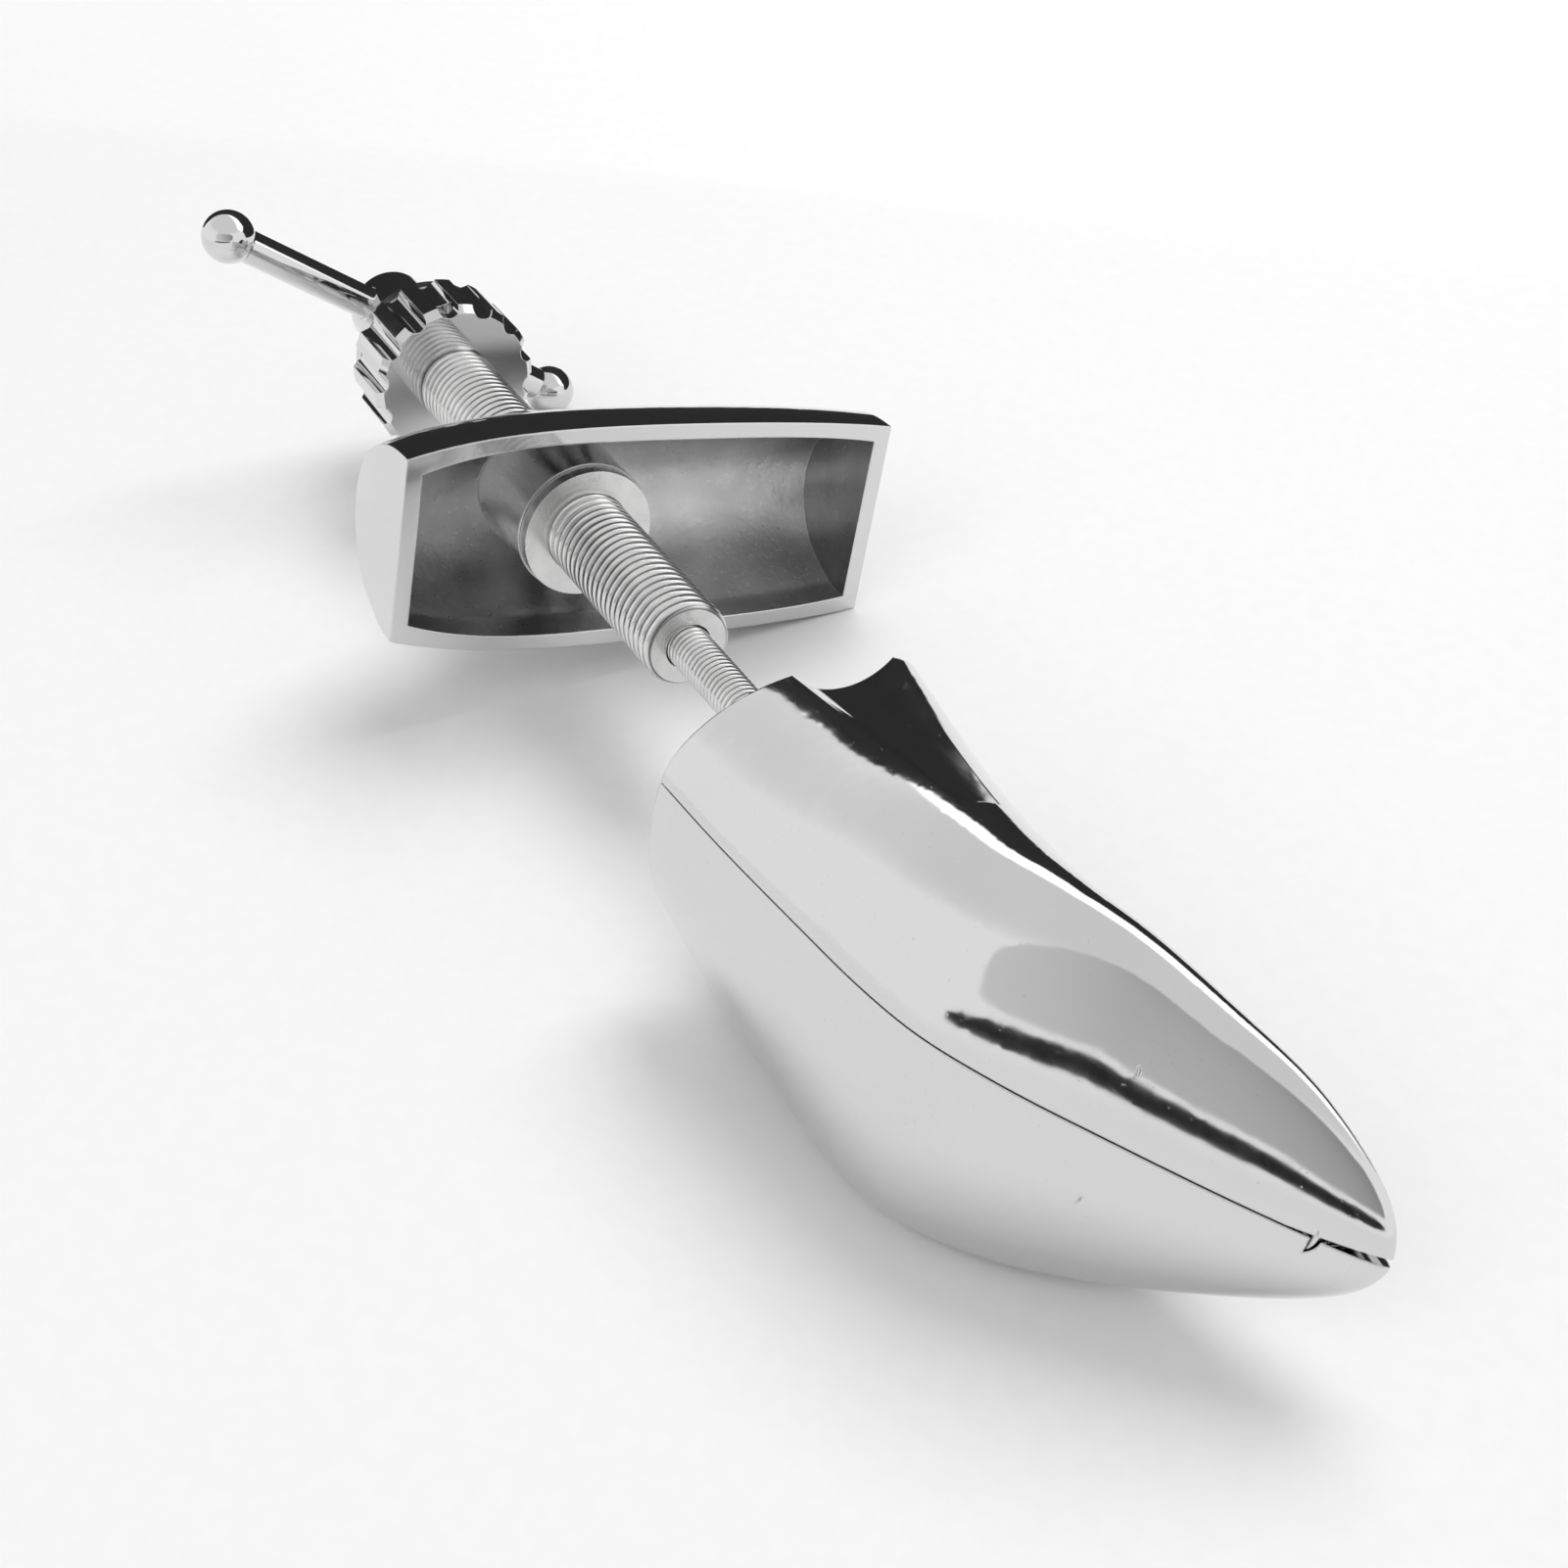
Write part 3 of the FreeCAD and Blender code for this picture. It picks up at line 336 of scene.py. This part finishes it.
def curve_point(corners, part):
    """A point at a share of a cubic curve."""
    weights = ((1 - part) ** 3, 3 * part * (1 - part) ** 2, 3 * part ** 2 * (1 - part), part ** 3)
    return tuple(sum(weight * corner[side] for weight, corner in zip(weights, corners)) for side in (0, 1))


def flare_column(shell, sizes, rim_x, turn, roll):
    """The flare's profile at one turn: from the boss's rim to the shell's back, and back under its skin."""
    reach = 1 / math.hypot(math.cos(turn) / sizes.flare_long, math.sin(turn) / sizes.flare_wide)

    def back(radius):
        behind = Vector(ring_point(rim_x - reach, radius, turn + roll))
        hit = shell.ray_cast(behind, Vector((1.0, 0.0, 0.0)))[0]
        if hit is None:
            raise RuntimeError("the flare misses the heel's back")
        return hit.x

    far = back(reach)
    slope = (far - back(reach - PROBE)) / PROBE
    edge = far + sizes.flare_sink
    rim_pull = RIM_PULL * (reach - sizes.flare_rim)
    edge_pull = EDGE_PULL * (reach - sizes.flare_rim)
    corners = ((rim_x, sizes.flare_rim),
               (rim_x + rim_pull, sizes.flare_rim + RIM_SLOPE * rim_pull),
               (edge - slope * edge_pull, reach - edge_pull),
               (edge, reach))
    profile = [curve_point(corners, row / sizes.flare_rows) for row in range(sizes.flare_rows + 1)]
    profile.append((far + UNDER_EDGE[0], reach + UNDER_EDGE[1]))
    profile.append((rim_x + UNDER_RIM[0], sizes.flare_rim + UNDER_RIM[1]))
    return [ring_point(x, radius, turn + roll) for x, radius in profile]


def flare_skin(mesh, sizes):
    """Adds the closed skin of the flare round the heel's boss."""
    data = frame["nodes"]["heel_shell"].data
    shell = BVHTree.FromPolygons([vertex.co for vertex in data.vertices],
                                 [face.vertices for face in data.polygons])
    base = frame["record"]["mounts"][0]["axis"]
    roll = math.atan2(base[2], base[1])
    rim_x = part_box("heel_shell")[0].x + sizes.flare_lip
    columns = []
    for step in range(sizes.flare_steps):
        points = flare_column(shell, sizes, rim_x, FULL_TURN * step / sizes.flare_steps, roll)
        columns.append([mesh.verts.new(point) for point in points])
    for first, second in zip(columns, columns[1:] + columns[:1]):
        for row in range(len(first)):
            after = (row + 1) % len(first)
            mesh.faces.new((first[row], first[after], second[after], second[row]))


def finished_object(mesh, name):
    """Joins the skins of a mesh, turns them outwards, smooths them and links the object."""
    bmesh.ops.remove_doubles(mesh, verts=mesh.verts, dist=WELD)
    bmesh.ops.recalc_face_normals(mesh, faces=mesh.faces)
    data = bpy.data.meshes.new(name)
    mesh.to_mesh(data)
    mesh.free()
    data.shade_smooth()
    data.set_sharp_from_angle(angle=SHARP)
    made = bpy.data.objects.new(name, data)
    bpy.context.scene.collection.objects.link(made)
    return made


def seat(made, body, slot, finish, *nodes):
    """Rides a piece on its body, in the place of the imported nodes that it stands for."""
    made.data.materials.append(finish)
    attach(made, body)
    if nodes:
        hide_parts(*nodes)


def dress(names, finish):
    """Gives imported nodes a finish."""
    for name in names:
        slots = frame["nodes"][name].data.materials
        slots.clear()
        slots.append(finish)


# Shader nodes


def shader_of(name, metallic=0.0):
    """A new finish: its material, its node tree and its shader."""
    finish = bpy.data.materials.new(name)
    finish.use_nodes = True
    shader = finish.node_tree.nodes["Principled BSDF"]
    shader.inputs["Metallic"].default_value = metallic
    return finish, finish.node_tree, shader


def add(tree, kind, values=None, **settings):
    """Adds a node, with values for its inputs and settings of its own."""
    made = tree.nodes.new(kind)
    for name, value in settings.items():
        setattr(made, name, value)
    for key, value in (values or {}).items():
        socket = made.inputs[key]
        if isinstance(value, bpy.types.NodeSocket):
            tree.links.new(value, socket)
        else:
            socket.default_value = value
    return made


def plug(tree, shader, colour, rough, normal):
    """Joins a colour, a roughness and a normal to a shader."""
    for key, socket in (("Base Color", colour), ("Roughness", rough), ("Normal", normal)):
        tree.links.new(socket, shader.inputs[key])


def sum_of(tree, operation, first, second=0.0, third=0.0, clamp=False):
    """One sum on values or sockets."""
    return add(tree, "ShaderNodeMath", {0: first, 1: second, 2: third}, operation=operation,
               use_clamp=clamp).outputs[0]


def raised(tree, value, by, base):
    """A base with a share of a value on top."""
    return sum_of(tree, "MULTIPLY_ADD", value, by, base)


def vector_sum(tree, operation, first, second=(0.0, 0.0, 0.0)):
    """One sum on places or directions: the outputs of its node."""
    return add(tree, "ShaderNodeVectorMath", {0: first, 1: second}, operation=operation).outputs


def ranged(tree, value, low, high, start=0.0, end=1.0):
    """A value moved from one range to another, eased and held at the ends."""
    values = {"Value": value, "From Min": low, "From Max": high, "To Min": start, "To Max": end}
    return add(tree, "ShaderNodeMapRange", values, interpolation_type="SMOOTHSTEP").outputs[0]


def shaded(colour, level):
    """A colour made darker or paler."""
    return tuple(level * value for value in colour)


def mixed(tree, part, first, second):
    """Two colours mixed by a share."""
    node = add(tree, "ShaderNodeMix", {0: part}, data_type="RGBA")
    inputs = [socket for socket in node.inputs if socket.type == "RGBA"]
    for socket, value in zip(inputs, (first, second)):
        if isinstance(value, bpy.types.NodeSocket):
            tree.links.new(value, socket)
        else:
            socket.default_value = (*value, 1.0)
    return next(socket for socket in node.outputs if socket.type == "RGBA")


def shader_mix(tree, part, first, second):
    """Two shaders mixed by a share and joined to the material's surface."""
    mix = add(tree, "ShaderNodeMixShader", {0: part, 1: first.outputs[0], 2: second.outputs[0]})
    tree.links.new(mix.outputs[0], tree.nodes["Material Output"].inputs["Surface"])


def piece_place(tree):
    """Places on the piece itself, which move with it."""
    return add(tree, "ShaderNodeTexCoord").outputs["Object"]


def grain(tree, place, size, detail=2.0, roughness=0.5):
    """Even noise whose grains, each half a wave, are about a size across."""
    values = {"Vector": place, "Scale": 0.5 / size, "Detail": detail, "Roughness": roughness}
    return add(tree, "ShaderNodeTexNoise", values).outputs["Fac"]


def scratches(tree, place, size, stretch):
    """Noise drawn out along one axis, as polishing leaves it."""
    drawn = add(tree, "ShaderNodeMapping", {"Vector": place, "Scale": stretch}).outputs[0]
    return grain(tree, drawn, size, detail=3.0, roughness=0.6)


def soft_edges(tree, radius, samples):
    """A normal that rounds off the edges of a piece."""
    return add(tree, "ShaderNodeBevel", {"Radius": radius}, samples=samples).outputs[0]


def bumped(tree, height, distance, strength, under=None):
    """A normal raised by a height."""
    values = {"Height": height, "Distance": distance, "Strength": strength}
    if under is not None:
        values["Normal"] = under
    return add(tree, "ShaderNodeBump", values).outputs[0]


def from_spindle(tree, place):
    """Distance from the spindle, at each point of a piece."""
    offset = vector_sum(tree, "ADD", place, (0.0, -AXIS.y, -AXIS.z))[0]
    across = vector_sum(tree, "MULTIPLY", offset, (0.0, 1.0, 1.0))[0]
    return vector_sum(tree, "LENGTH", across)["Value"]


def inside_mask(tree, place, centre):
    """1 on faces that look back at a point in a shell's hollow, 0 on its outside."""
    world_normal = add(tree, "ShaderNodeNewGeometry").outputs["Normal"]
    normal = add(tree, "ShaderNodeVectorTransform", {"Vector": world_normal}, vector_type="NORMAL",
                 convert_from="WORLD", convert_to="OBJECT").outputs[0]
    reach = vector_sum(tree, "SUBTRACT", place, centre)[0]
    reach = vector_sum(tree, "NORMALIZE", reach)[0]
    facing = vector_sum(tree, "DOT_PRODUCT", normal, reach)["Value"]
    return ranged(tree, facing, low=-0.12, high=-0.3)


# Finishes


def chromed(name, finishes, soft_edge, wave_height):
    """Polished chrome: slow waves of hand polishing, fine haze, small pits and softened edges."""
    finish, tree, shader = shader_of(name, metallic=1.0)
    place = piece_place(tree)
    waves = grain(tree, place, WAVE, detail=1.0)
    haze = scratches(tree, place, SCRATCH, stretch=(0.25, 1.0, 1.0))
    pits = ranged(tree, grain(tree, place, PIT, detail=1.0), low=0.70, high=0.80)
    smudges = ranged(tree, grain(tree, place, SMUDGE, detail=3.0), low=0.35, high=0.75, end=0.35)
    colour = mixed(tree, smudges, finishes.chrome, shaded(finishes.chrome, level=0.93))
    pit_shade = sum_of(tree, "MULTIPLY", pits, 0.35)
    colour = mixed(tree, pit_shade, colour, finishes.as_cast)
    rough = raised(tree, haze, by=finishes.haze, base=finishes.polish)
    rough = raised(tree, pits, by=0.15, base=rough)
    edges = soft_edges(tree, soft_edge, samples=6)
    normal = bumped(tree, waves, distance=wave_height, strength=1.0, under=edges)
    normal = bumped(tree, haze, distance=0.001 * MM, strength=0.4, under=normal)
    plug(tree, shader, colour, rough, normal)
    return finish, tree, shader


def casting_finish(name, finishes, hollow):
    """Chrome outside, and a dull as-cast skin inside the hollow."""
    finish, tree, shader = chromed(name, finishes, finishes.edge, finishes.cast_wave)
    was = {key: shader.inputs[key].links[0].from_socket for key in ("Base Color", "Roughness", "Normal")}
    place = piece_place(tree)
    inside = inside_mask(tree, place, hollow)
    sand = grain(tree, place, SAND, detail=4.0, roughness=0.65)
    blotches = ranged(tree, grain(tree, place, BLOTCH, detail=3.0), low=0.3, high=0.7)
    dull = mixed(tree, blotches, finishes.as_cast, shaded(finishes.as_cast, level=0.74))
    matt = raised(tree, sand, by=0.20, base=0.20)
    colour = mixed(tree, inside, was["Base Color"], dull)
    rough = add(tree, "ShaderNodeMix", {0: inside, 2: was["Roughness"], 3: matt}, data_type="FLOAT")
    relief = sum_of(tree, "MULTIPLY", sand, inside)
    normal = bumped(tree, relief, distance=0.12 * MM, strength=0.6, under=was["Normal"])
    plug(tree, shader, colour, rough.outputs[0], normal)
    return finish


def steel_finish(name, colour, finishes, rough, roots=None, ring_pitch=0.0):
    """Plain bright steel, with turning rings, or with painted shade between two radii where these are given."""
    finish, tree, shader = shader_of(name, metallic=1.0)
    place = piece_place(tree)
    mottle = grain(tree, place, MOTTLE, detail=4.0, roughness=0.6)
    height = grain(tree, place, FINE_GRAIN)
    worn = ranged(tree, mottle, low=0.35, high=0.7, end=0.5)
    base = mixed(tree, worn, colour, shaded(colour, level=0.80))
    haze = raised(tree, mottle, by=0.14, base=rough - 0.05)
    # Painted shade: darkens a thread from its roots (root) out to the radius where the shade ends (clean)
    if roots is not None:
        root, clean = roots
        radius = from_spindle(tree, place)
        outside = ranged(tree, radius, low=root - 0.1 * MM, high=root)
        fading = ranged(tree, radius, low=root, high=clean, start=0.85, end=0.0)
        painted_root_shade = sum_of(tree, "MULTIPLY", fading, outside)
        base = mixed(tree, painted_root_shade, base, finishes.painted_root_shade)
        haze = raised(tree, painted_root_shade, by=0.25, base=haze)
    if ring_pitch:
        values = {"Vector": place, "Scale": WAVE_LENGTH / ring_pitch, "Distortion": 0.6, "Detail": 1.0}
        rings = add(tree, "ShaderNodeTexWave", values, wave_type="BANDS", bands_direction="X")
        height = raised(tree, rings.outputs["Fac"], by=0.8, base=height)
    edges = soft_edges(tree, finishes.steel_edge, samples=4)
    plug(tree, shader, base, haze, bumped(tree, height, distance=0.006 * MM, strength=0.6, under=edges))
    return finish


def thread_finish(name, finishes, crest, depth):
    """Steel with painted shade from a thread's roots up to the part of its flanks that the shade doesn't reach."""
    roots = (crest - depth, crest - finishes.crest * depth)
    return steel_finish(name, finishes.thread, finishes, rough=0.2, roots=roots)


def gap_shadow_finish(name, colour):
    """Painted shadow: a matt black skin with a fine grain and paler dust, for the ring that fills the shadowed gap
    behind the bush's flange.
    """
    finish, tree, shader = shader_of(name)
    place = piece_place(tree)
    fine = grain(tree, place, RING_GRAIN, detail=3.0)
    dust = ranged(tree, grain(tree, place, DUST, detail=4.0), low=0.5, high=0.8, end=0.4)
    dusty = mixed(tree, dust, colour, shaded(colour, level=4.0))
    rough = raised(tree, fine, by=0.25, base=0.45)
    plug(tree, shader, dusty, rough, bumped(tree, fine, distance=0.03 * MM, strength=0.5))
    return finish


# Operators


class STRETCHER_OT_castings(bpy.types.Operator):
    """Plates the toe halves and the heel, leaves their insides as cast, and flares the heel's boss"""
    bl_idname = "stretcher.castings"
    bl_label = "Finish castings"

    def execute(self, context):
        finishes = context.scene.stretcher_finishes
        toe_low, toe_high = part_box("toe_lower_half")
        toe_middle = Vector(((toe_low.x + toe_high.x) / 2, AXIS.y + TOE_HOLLOW_Y, AXIS.z))
        for name in ("toe_lower_half", "toe_upper_half"):
            dress([name], casting_finish(name + "_chrome", finishes, toe_middle))
        heel_low, heel_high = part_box("heel_shell")
        heel_middle = Vector((heel_high.x, (heel_low.y + heel_high.y) / 2, AXIS.z + HEEL_HOLLOW_Z))
        heel_chrome = casting_finish("heel_chrome", finishes, heel_middle)
        dress(["heel_shell"], heel_chrome)
        mesh = bmesh.new()
        flare_skin(mesh, context.scene.stretcher_sizes)
        seat(finished_object(mesh, "heel_flare"), "heel", "chrome_casting", heel_chrome)
        return {"FINISHED"}


class STRETCHER_OT_threads(bpy.types.Operator):
    """Cuts the right-handed threads of the spindle rod and of the length sleeve"""
    bl_idname = "stretcher.threads"
    bl_label = "Cut threads"

    def execute(self, context):
        sizes = context.scene.stretcher_sizes
        finishes = context.scene.stretcher_finishes
        self.cut_rod(sizes, finishes)
        self.cut_sleeve(sizes, finishes)
        plain = steel_finish("threaded_steel", finishes.thread, finishes, rough=0.24, ring_pitch=3.77 * MM)
        cut = ("spindle_rod", "length_sleeve")
        dress([name for name in nodes_of("thread_steel") if name not in cut], plain)
        return {"FINISHED"}

    def cut_rod(self, sizes, finishes):
        """The rod: plain from the handle into the sleeve, and threaded from there to its end in the toe."""
        low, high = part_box("spindle_rod")
        radius = (high.z - low.z) / 2
        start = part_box("length_sleeve")[1].x - sizes.rod_hidden
        end_radius = radius - sizes.rod_depth - sizes.end_bevel
        bevel = radius - end_radius
        plain = [(low.x, 0.0), (low.x, end_radius), (low.x + bevel, radius), (start - bevel, radius),
                 (start, end_radius)]
        mesh = bmesh.new()
        thread_skin(mesh, (start, high.x), radius, sizes.rod_depth, sizes.rod_pitch, end_radius,
                    sizes.rod_steps)
        turned_skin(mesh, [(high.x, end_radius), (high.x, 0.0)], sizes.rod_steps)
        turned_skin(mesh, plain, sizes.rod_steps)
        finish = thread_finish("rod_thread_steel", finishes, radius, sizes.rod_depth)
        seat(finished_object(mesh, "rod_thread"), "spindle", "thread_steel", finish, "spindle_rod")

    def cut_sleeve(self, sizes, finishes):
        """The sleeve: a bored tube, threaded up to the hand wheel, with a plain neck under the wheel."""
        low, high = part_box("length_sleeve")
        radius = (high.z - low.z) / 2
        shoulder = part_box("length_wheel")[1].x
        end_radius = radius - sizes.sleeve_depth - sizes.end_bevel
        bore = [(high.x, end_radius), (high.x, sizes.sleeve_bore), (low.x, sizes.sleeve_bore),
                (low.x, sizes.sleeve_neck), (shoulder, sizes.sleeve_neck), (shoulder, end_radius)]
        mesh = bmesh.new()
        thread_skin(mesh, (shoulder, high.x), radius, sizes.sleeve_depth, sizes.sleeve_pitch, end_radius,
                    sizes.sleeve_steps)
        turned_skin(mesh, bore, sizes.sleeve_steps)
        finish = thread_finish("sleeve_thread_steel", finishes, radius, sizes.sleeve_depth)
        seat(finished_object(mesh, "sleeve_thread"), "sleeve", "thread_steel", finish, "length_sleeve")


class STRETCHER_OT_turned(bpy.types.Operator):
    """Finishes the bush, its nut, the collars, the washers, the block and the cap as turned steel"""
    bl_idname = "stretcher.turned"
    bl_label = "Finish turned pieces"

    def execute(self, context):
        finishes = context.scene.stretcher_finishes
        finish = steel_finish("turned_steel", finishes.turned, finishes, rough=0.17, ring_pitch=2.827 * MM)
        dress(nodes_of("turned_steel"), finish)
        return {"FINISHED"}


class STRETCHER_OT_fasteners(bpy.types.Operator):
    """Slots the cap's screws, and finishes the other screws, pins, anchors and the spring"""
    bl_idname = "stretcher.fasteners"
    bl_label = "Finish fasteners"

    def execute(self, context):
        finishes = context.scene.stretcher_finishes
        finish = steel_finish("bright_steel", finishes.fastener, finishes, rough=0.14)
        dress([name for name in nodes_of("bright_steel") if name != "wheel_cap_screws"], finish)
        self.slot_cap_screws(context.scene.stretcher_sizes, finish)
        return {"FINISHED"}

    def slot_cap_screws(self, sizes, finish):
        """Three screws on a circle, the first on top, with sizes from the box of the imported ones."""
        low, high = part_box("wheel_cap_screws")
        circle = 2 * ((high.z - AXIS.z) - (AXIS.z - low.z))
        head = high.z - AXIS.z - circle
        heights = (low.x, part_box("wheel_cap")[0].x, high.x)
        mesh = bmesh.new()
        for number in range(CAP_SCREWS):
            turn = FULL_TURN / 4 + FULL_TURN * number / CAP_SCREWS
            centre = (AXIS.y + circle * math.cos(turn), AXIS.z + circle * math.sin(turn))
            slotted_screw(mesh, centre, heights, head, sizes, lean=FIRST_LEAN + NEXT_LEAN * number)
        seat(finished_object(mesh, "cap_screws"), "sleeve", "bright_steel", finish, "wheel_cap_screws")


class STRETCHER_OT_handles(bpy.types.Operator):
    """Plates the hand wheel, the hub, the bar and its balls"""
    bl_idname = "stretcher.handles"
    bl_label = "Finish handles"

    def execute(self, context):
        finishes = context.scene.stretcher_finishes
        finish = chromed("handle_chrome", finishes, finishes.handle_edge, finishes.handle_wave)[0]
        dress(nodes_of("chrome_turned"), finish)
        return {"FINISHED"}


class STRETCHER_OT_ring(bpy.types.Operator):
    """Gives the black ring behind the bush's flange its matt black skin, a painted shadow of the gap there"""
    bl_idname = "stretcher.ring"
    bl_label = "Finish black ring"

    def execute(self, context):
        # The black ring is painted shadow, standing where the gap behind the flange lies in shade
        finish = gap_shadow_finish("painted_gap_shadow", context.scene.stretcher_finishes.gap_shadow_colour)
        dress(nodes_of("black_ring"), finish)
        return {"FINISHED"}


def placed_towards(made, place, target):
    """Puts a lamp, a card or the camera at a place and turns it to a target."""
    made.location = place
    made.rotation_mode = "QUATERNION"
    made.rotation_quaternion = (target - place).to_track_quat("-Z", "Y")
    bpy.context.scene.collection.objects.link(made)
    return made


class STRETCHER_OT_stage(bpy.types.Operator):
    """Sets the white table, soft lamps, light and dark cards for the metal, and the camera"""
    bl_idname = "stretcher.stage"
    bl_label = "Set stage"

    def execute(self, context):
        studio = context.scene.stretcher_studio
        heart = Vector((TOE_REAR, AXIS.y, AXIS.z))
        self.light_room(context.scene, studio)
        self.lay_table(studio)
        self.hang_lamp("key_lamp", studio.key_place, heart, studio.key_size, studio.key_power)
        self.hang_lamp("side_lamp", studio.side_place, heart, studio.side_size, studio.side_power)
        self.hang_cards(studio, heart)
        self.set_camera(context.scene, studio, heart)
        return {"FINISHED"}

    def seen(self, tree):
        """1 where the camera looks, also by way of metal or glass."""
        ray = add(tree, "ShaderNodeLightPath").outputs
        straight = sum_of(tree, "ADD", ray["Is Camera Ray"], ray["Is Glossy Ray"])
        return sum_of(tree, "ADD", straight, ray["Is Transmission Ray"], clamp=True)

    def light_room(self, scene, studio):
        """A room that is seen plain white and lights the object less."""
        room = bpy.data.worlds.new("studio_room")
        room.use_nodes = True
        scene.world = room
        tree = room.node_tree
        level = raised(tree, self.seen(tree), by=1.0 - studio.fill, base=studio.fill)
        back = tree.nodes["Background"]
        back.inputs["Color"].default_value = (1.0, 1.0, 1.0, 1.0)
        tree.links.new(level, back.inputs["Strength"])

    def lay_table(self, studio):
        """The table keeps its light and shadow round the object, and is seen plain white further off."""
        mesh = bmesh.new()
        bmesh.ops.create_grid(mesh, x_segments=4, y_segments=4, size=studio.table_half)
        table = finished_object(mesh, "table_top")
        finish, tree, shader = shader_of("table_white")
        place = piece_place(tree)
        specks = ranged(tree, grain(tree, place, SPECK, detail=3.0), low=0.3, high=0.7)
        colour = mixed(tree, specks, studio.table, shaded(studio.table, level=0.985))
        tree.links.new(colour, shader.inputs["Base Color"])
        shader.inputs["Roughness"].default_value = 0.6
        shader.inputs["Specular IOR Level"].default_value = 0.15
        away = vector_sum(tree, "LENGTH", place)["Value"]
        far = ranged(tree, away, low=studio.table_near, high=studio.table_far)
        white = add(tree, "ShaderNodeEmission")
        shader_mix(tree, sum_of(tree, "MULTIPLY", far, self.seen(tree)), shader, white)
        table.data.materials.append(finish)

    def hang_lamp(self, name, place, target, size, watts):
        """A soft lamp that the metal doesn't show."""
        data = bpy.data.lights.new(name, "AREA")
        data.shape = "RECTANGLE"
        data.size, data.size_y = size
        data.energy = watts
        lamp = placed_towards(bpy.data.objects.new(name, data), place, target)
        lamp.visible_glossy = False

    def hang_cards(self, studio, heart):
        """The ceiling, the stripe, the dark far side, the grey opening and the dark near strip."""
        self.hang_card("ceiling_card", heart, studio.ceiling)
        self.hang_card("stripe_card", heart, studio.stripe)
        self.hang_card("far_card", heart, studio.far_dark)
        self.hang_card("opening_card", heart, studio.opening, studio.opening_fade)
        self.hang_card("near_card", heart, studio.near_dark)

    def hang_card(self, name, heart, glow, fade=1.0):
        """A card with round corners that only the metal shows, not the camera, the table or the shadows."""
        spec = CARDS[name]
        mesh = bmesh.new()
        bmesh.ops.create_grid(mesh, x_segments=1, y_segments=1, size=0.5)
        bmesh.ops.scale(mesh, vec=(*spec.size, 1.0), verts=mesh.verts)
        data = bpy.data.meshes.new(name)
        mesh.to_mesh(data)
        mesh.free()
        made = bpy.data.objects.new(name, data)
        card = placed_towards(made, heart + Vector(spec.place), heart + Vector(spec.aim))
        finish = bpy.data.materials.new(name + "_glow")
        finish.use_nodes = True
        tree = finish.node_tree
        to_edge = (2.0 / spec.size[0], 2.0 / spec.size[1], 0.0)
        reach = vector_sum(tree, "MULTIPLY", piece_place(tree), to_edge)[0]
        across, along, _ = add(tree, "ShaderNodeSeparateXYZ", {0: reach}).outputs
        powers = [sum_of(tree, "POWER", sum_of(tree, "ABSOLUTE", part), CARD_POWER)
                  for part in (across, along)]
        shown = ranged(tree, sum_of(tree, "ADD", *powers), low=1.0, high=spec.firm)
        strength = glow
        if fade < 1.0:
            strength = ranged(tree, across, low=-1.0, high=1.0, start=glow, end=fade * glow)
        lit = add(tree, "ShaderNodeEmission", {"Strength": strength})
        shader_mix(tree, shown, add(tree, "ShaderNodeBsdfTransparent"), lit)
        data.materials.append(finish)
        card.visible_camera = False
        card.visible_diffuse = False
        card.visible_shadow = False

    def set_camera(self, scene, studio, heart):
        """The camera where the photo's right view was taken from."""
        data = bpy.data.cameras.new("studio_camera")
        data.sensor_width = 36.0
        data.lens = data.sensor_width / (2 * math.tan(studio.angle / 2))
        data.clip_start = 0.01
        data.clip_end = 20.0
        made = bpy.data.objects.new("studio_camera", data)
        scene.camera = placed_towards(made, heart + studio.near, heart + studio.aim)
        scene.view_settings.view_transform = "Standard"


class STRETCHER_PT_dressing(bpy.types.Panel):
    """Lists the steps that dress the stretcher, and their settings"""
    bl_idname = "STRETCHER_PT_dressing"
    bl_label = "Shoe stretcher"
    bl_space_type = "VIEW_3D"
    bl_region_type = "UI"
    bl_category = "Stretcher"

    def draw(self, context):
        for step in STEPS:
            self.layout.operator(step.bl_idname)
        for name in GROUPS:
            group = getattr(context.scene, name)
            box = self.layout.box()
            for setting in type(group).__annotations__:
                box.prop(group, setting)


GROUPS = {
    "stretcher_sizes": StretcherSizes,
    "stretcher_finishes": StretcherFinishes,
    "stretcher_studio": StretcherStudio,
}
STEPS = (STRETCHER_OT_castings, STRETCHER_OT_threads, STRETCHER_OT_turned, STRETCHER_OT_fasteners,
         STRETCHER_OT_handles, STRETCHER_OT_ring, STRETCHER_OT_stage)
CLASSES = tuple(GROUPS.values()) + STEPS + (STRETCHER_PT_dressing,)


def register():
    """Adds the settings, the steps and the panel."""
    for kind in CLASSES:
        bpy.utils.register_class(kind)
    for name, group in GROUPS.items():
        setattr(bpy.types.Scene, name, PointerProperty(type=group))


def unregister():
    """Takes the settings, the steps and the panel away again."""
    for name in GROUPS:
        delattr(bpy.types.Scene, name)
    for kind in reversed(CLASSES):
        bpy.utils.unregister_class(kind)


def main():
    """Runs every step in order."""
    register()
    bpy.ops.stretcher.castings()
    bpy.ops.stretcher.threads()
    bpy.ops.stretcher.turned()
    bpy.ops.stretcher.fasteners()
    bpy.ops.stretcher.handles()
    bpy.ops.stretcher.ring()
    bpy.ops.stretcher.stage()


if __name__ == "__main__":
    main()
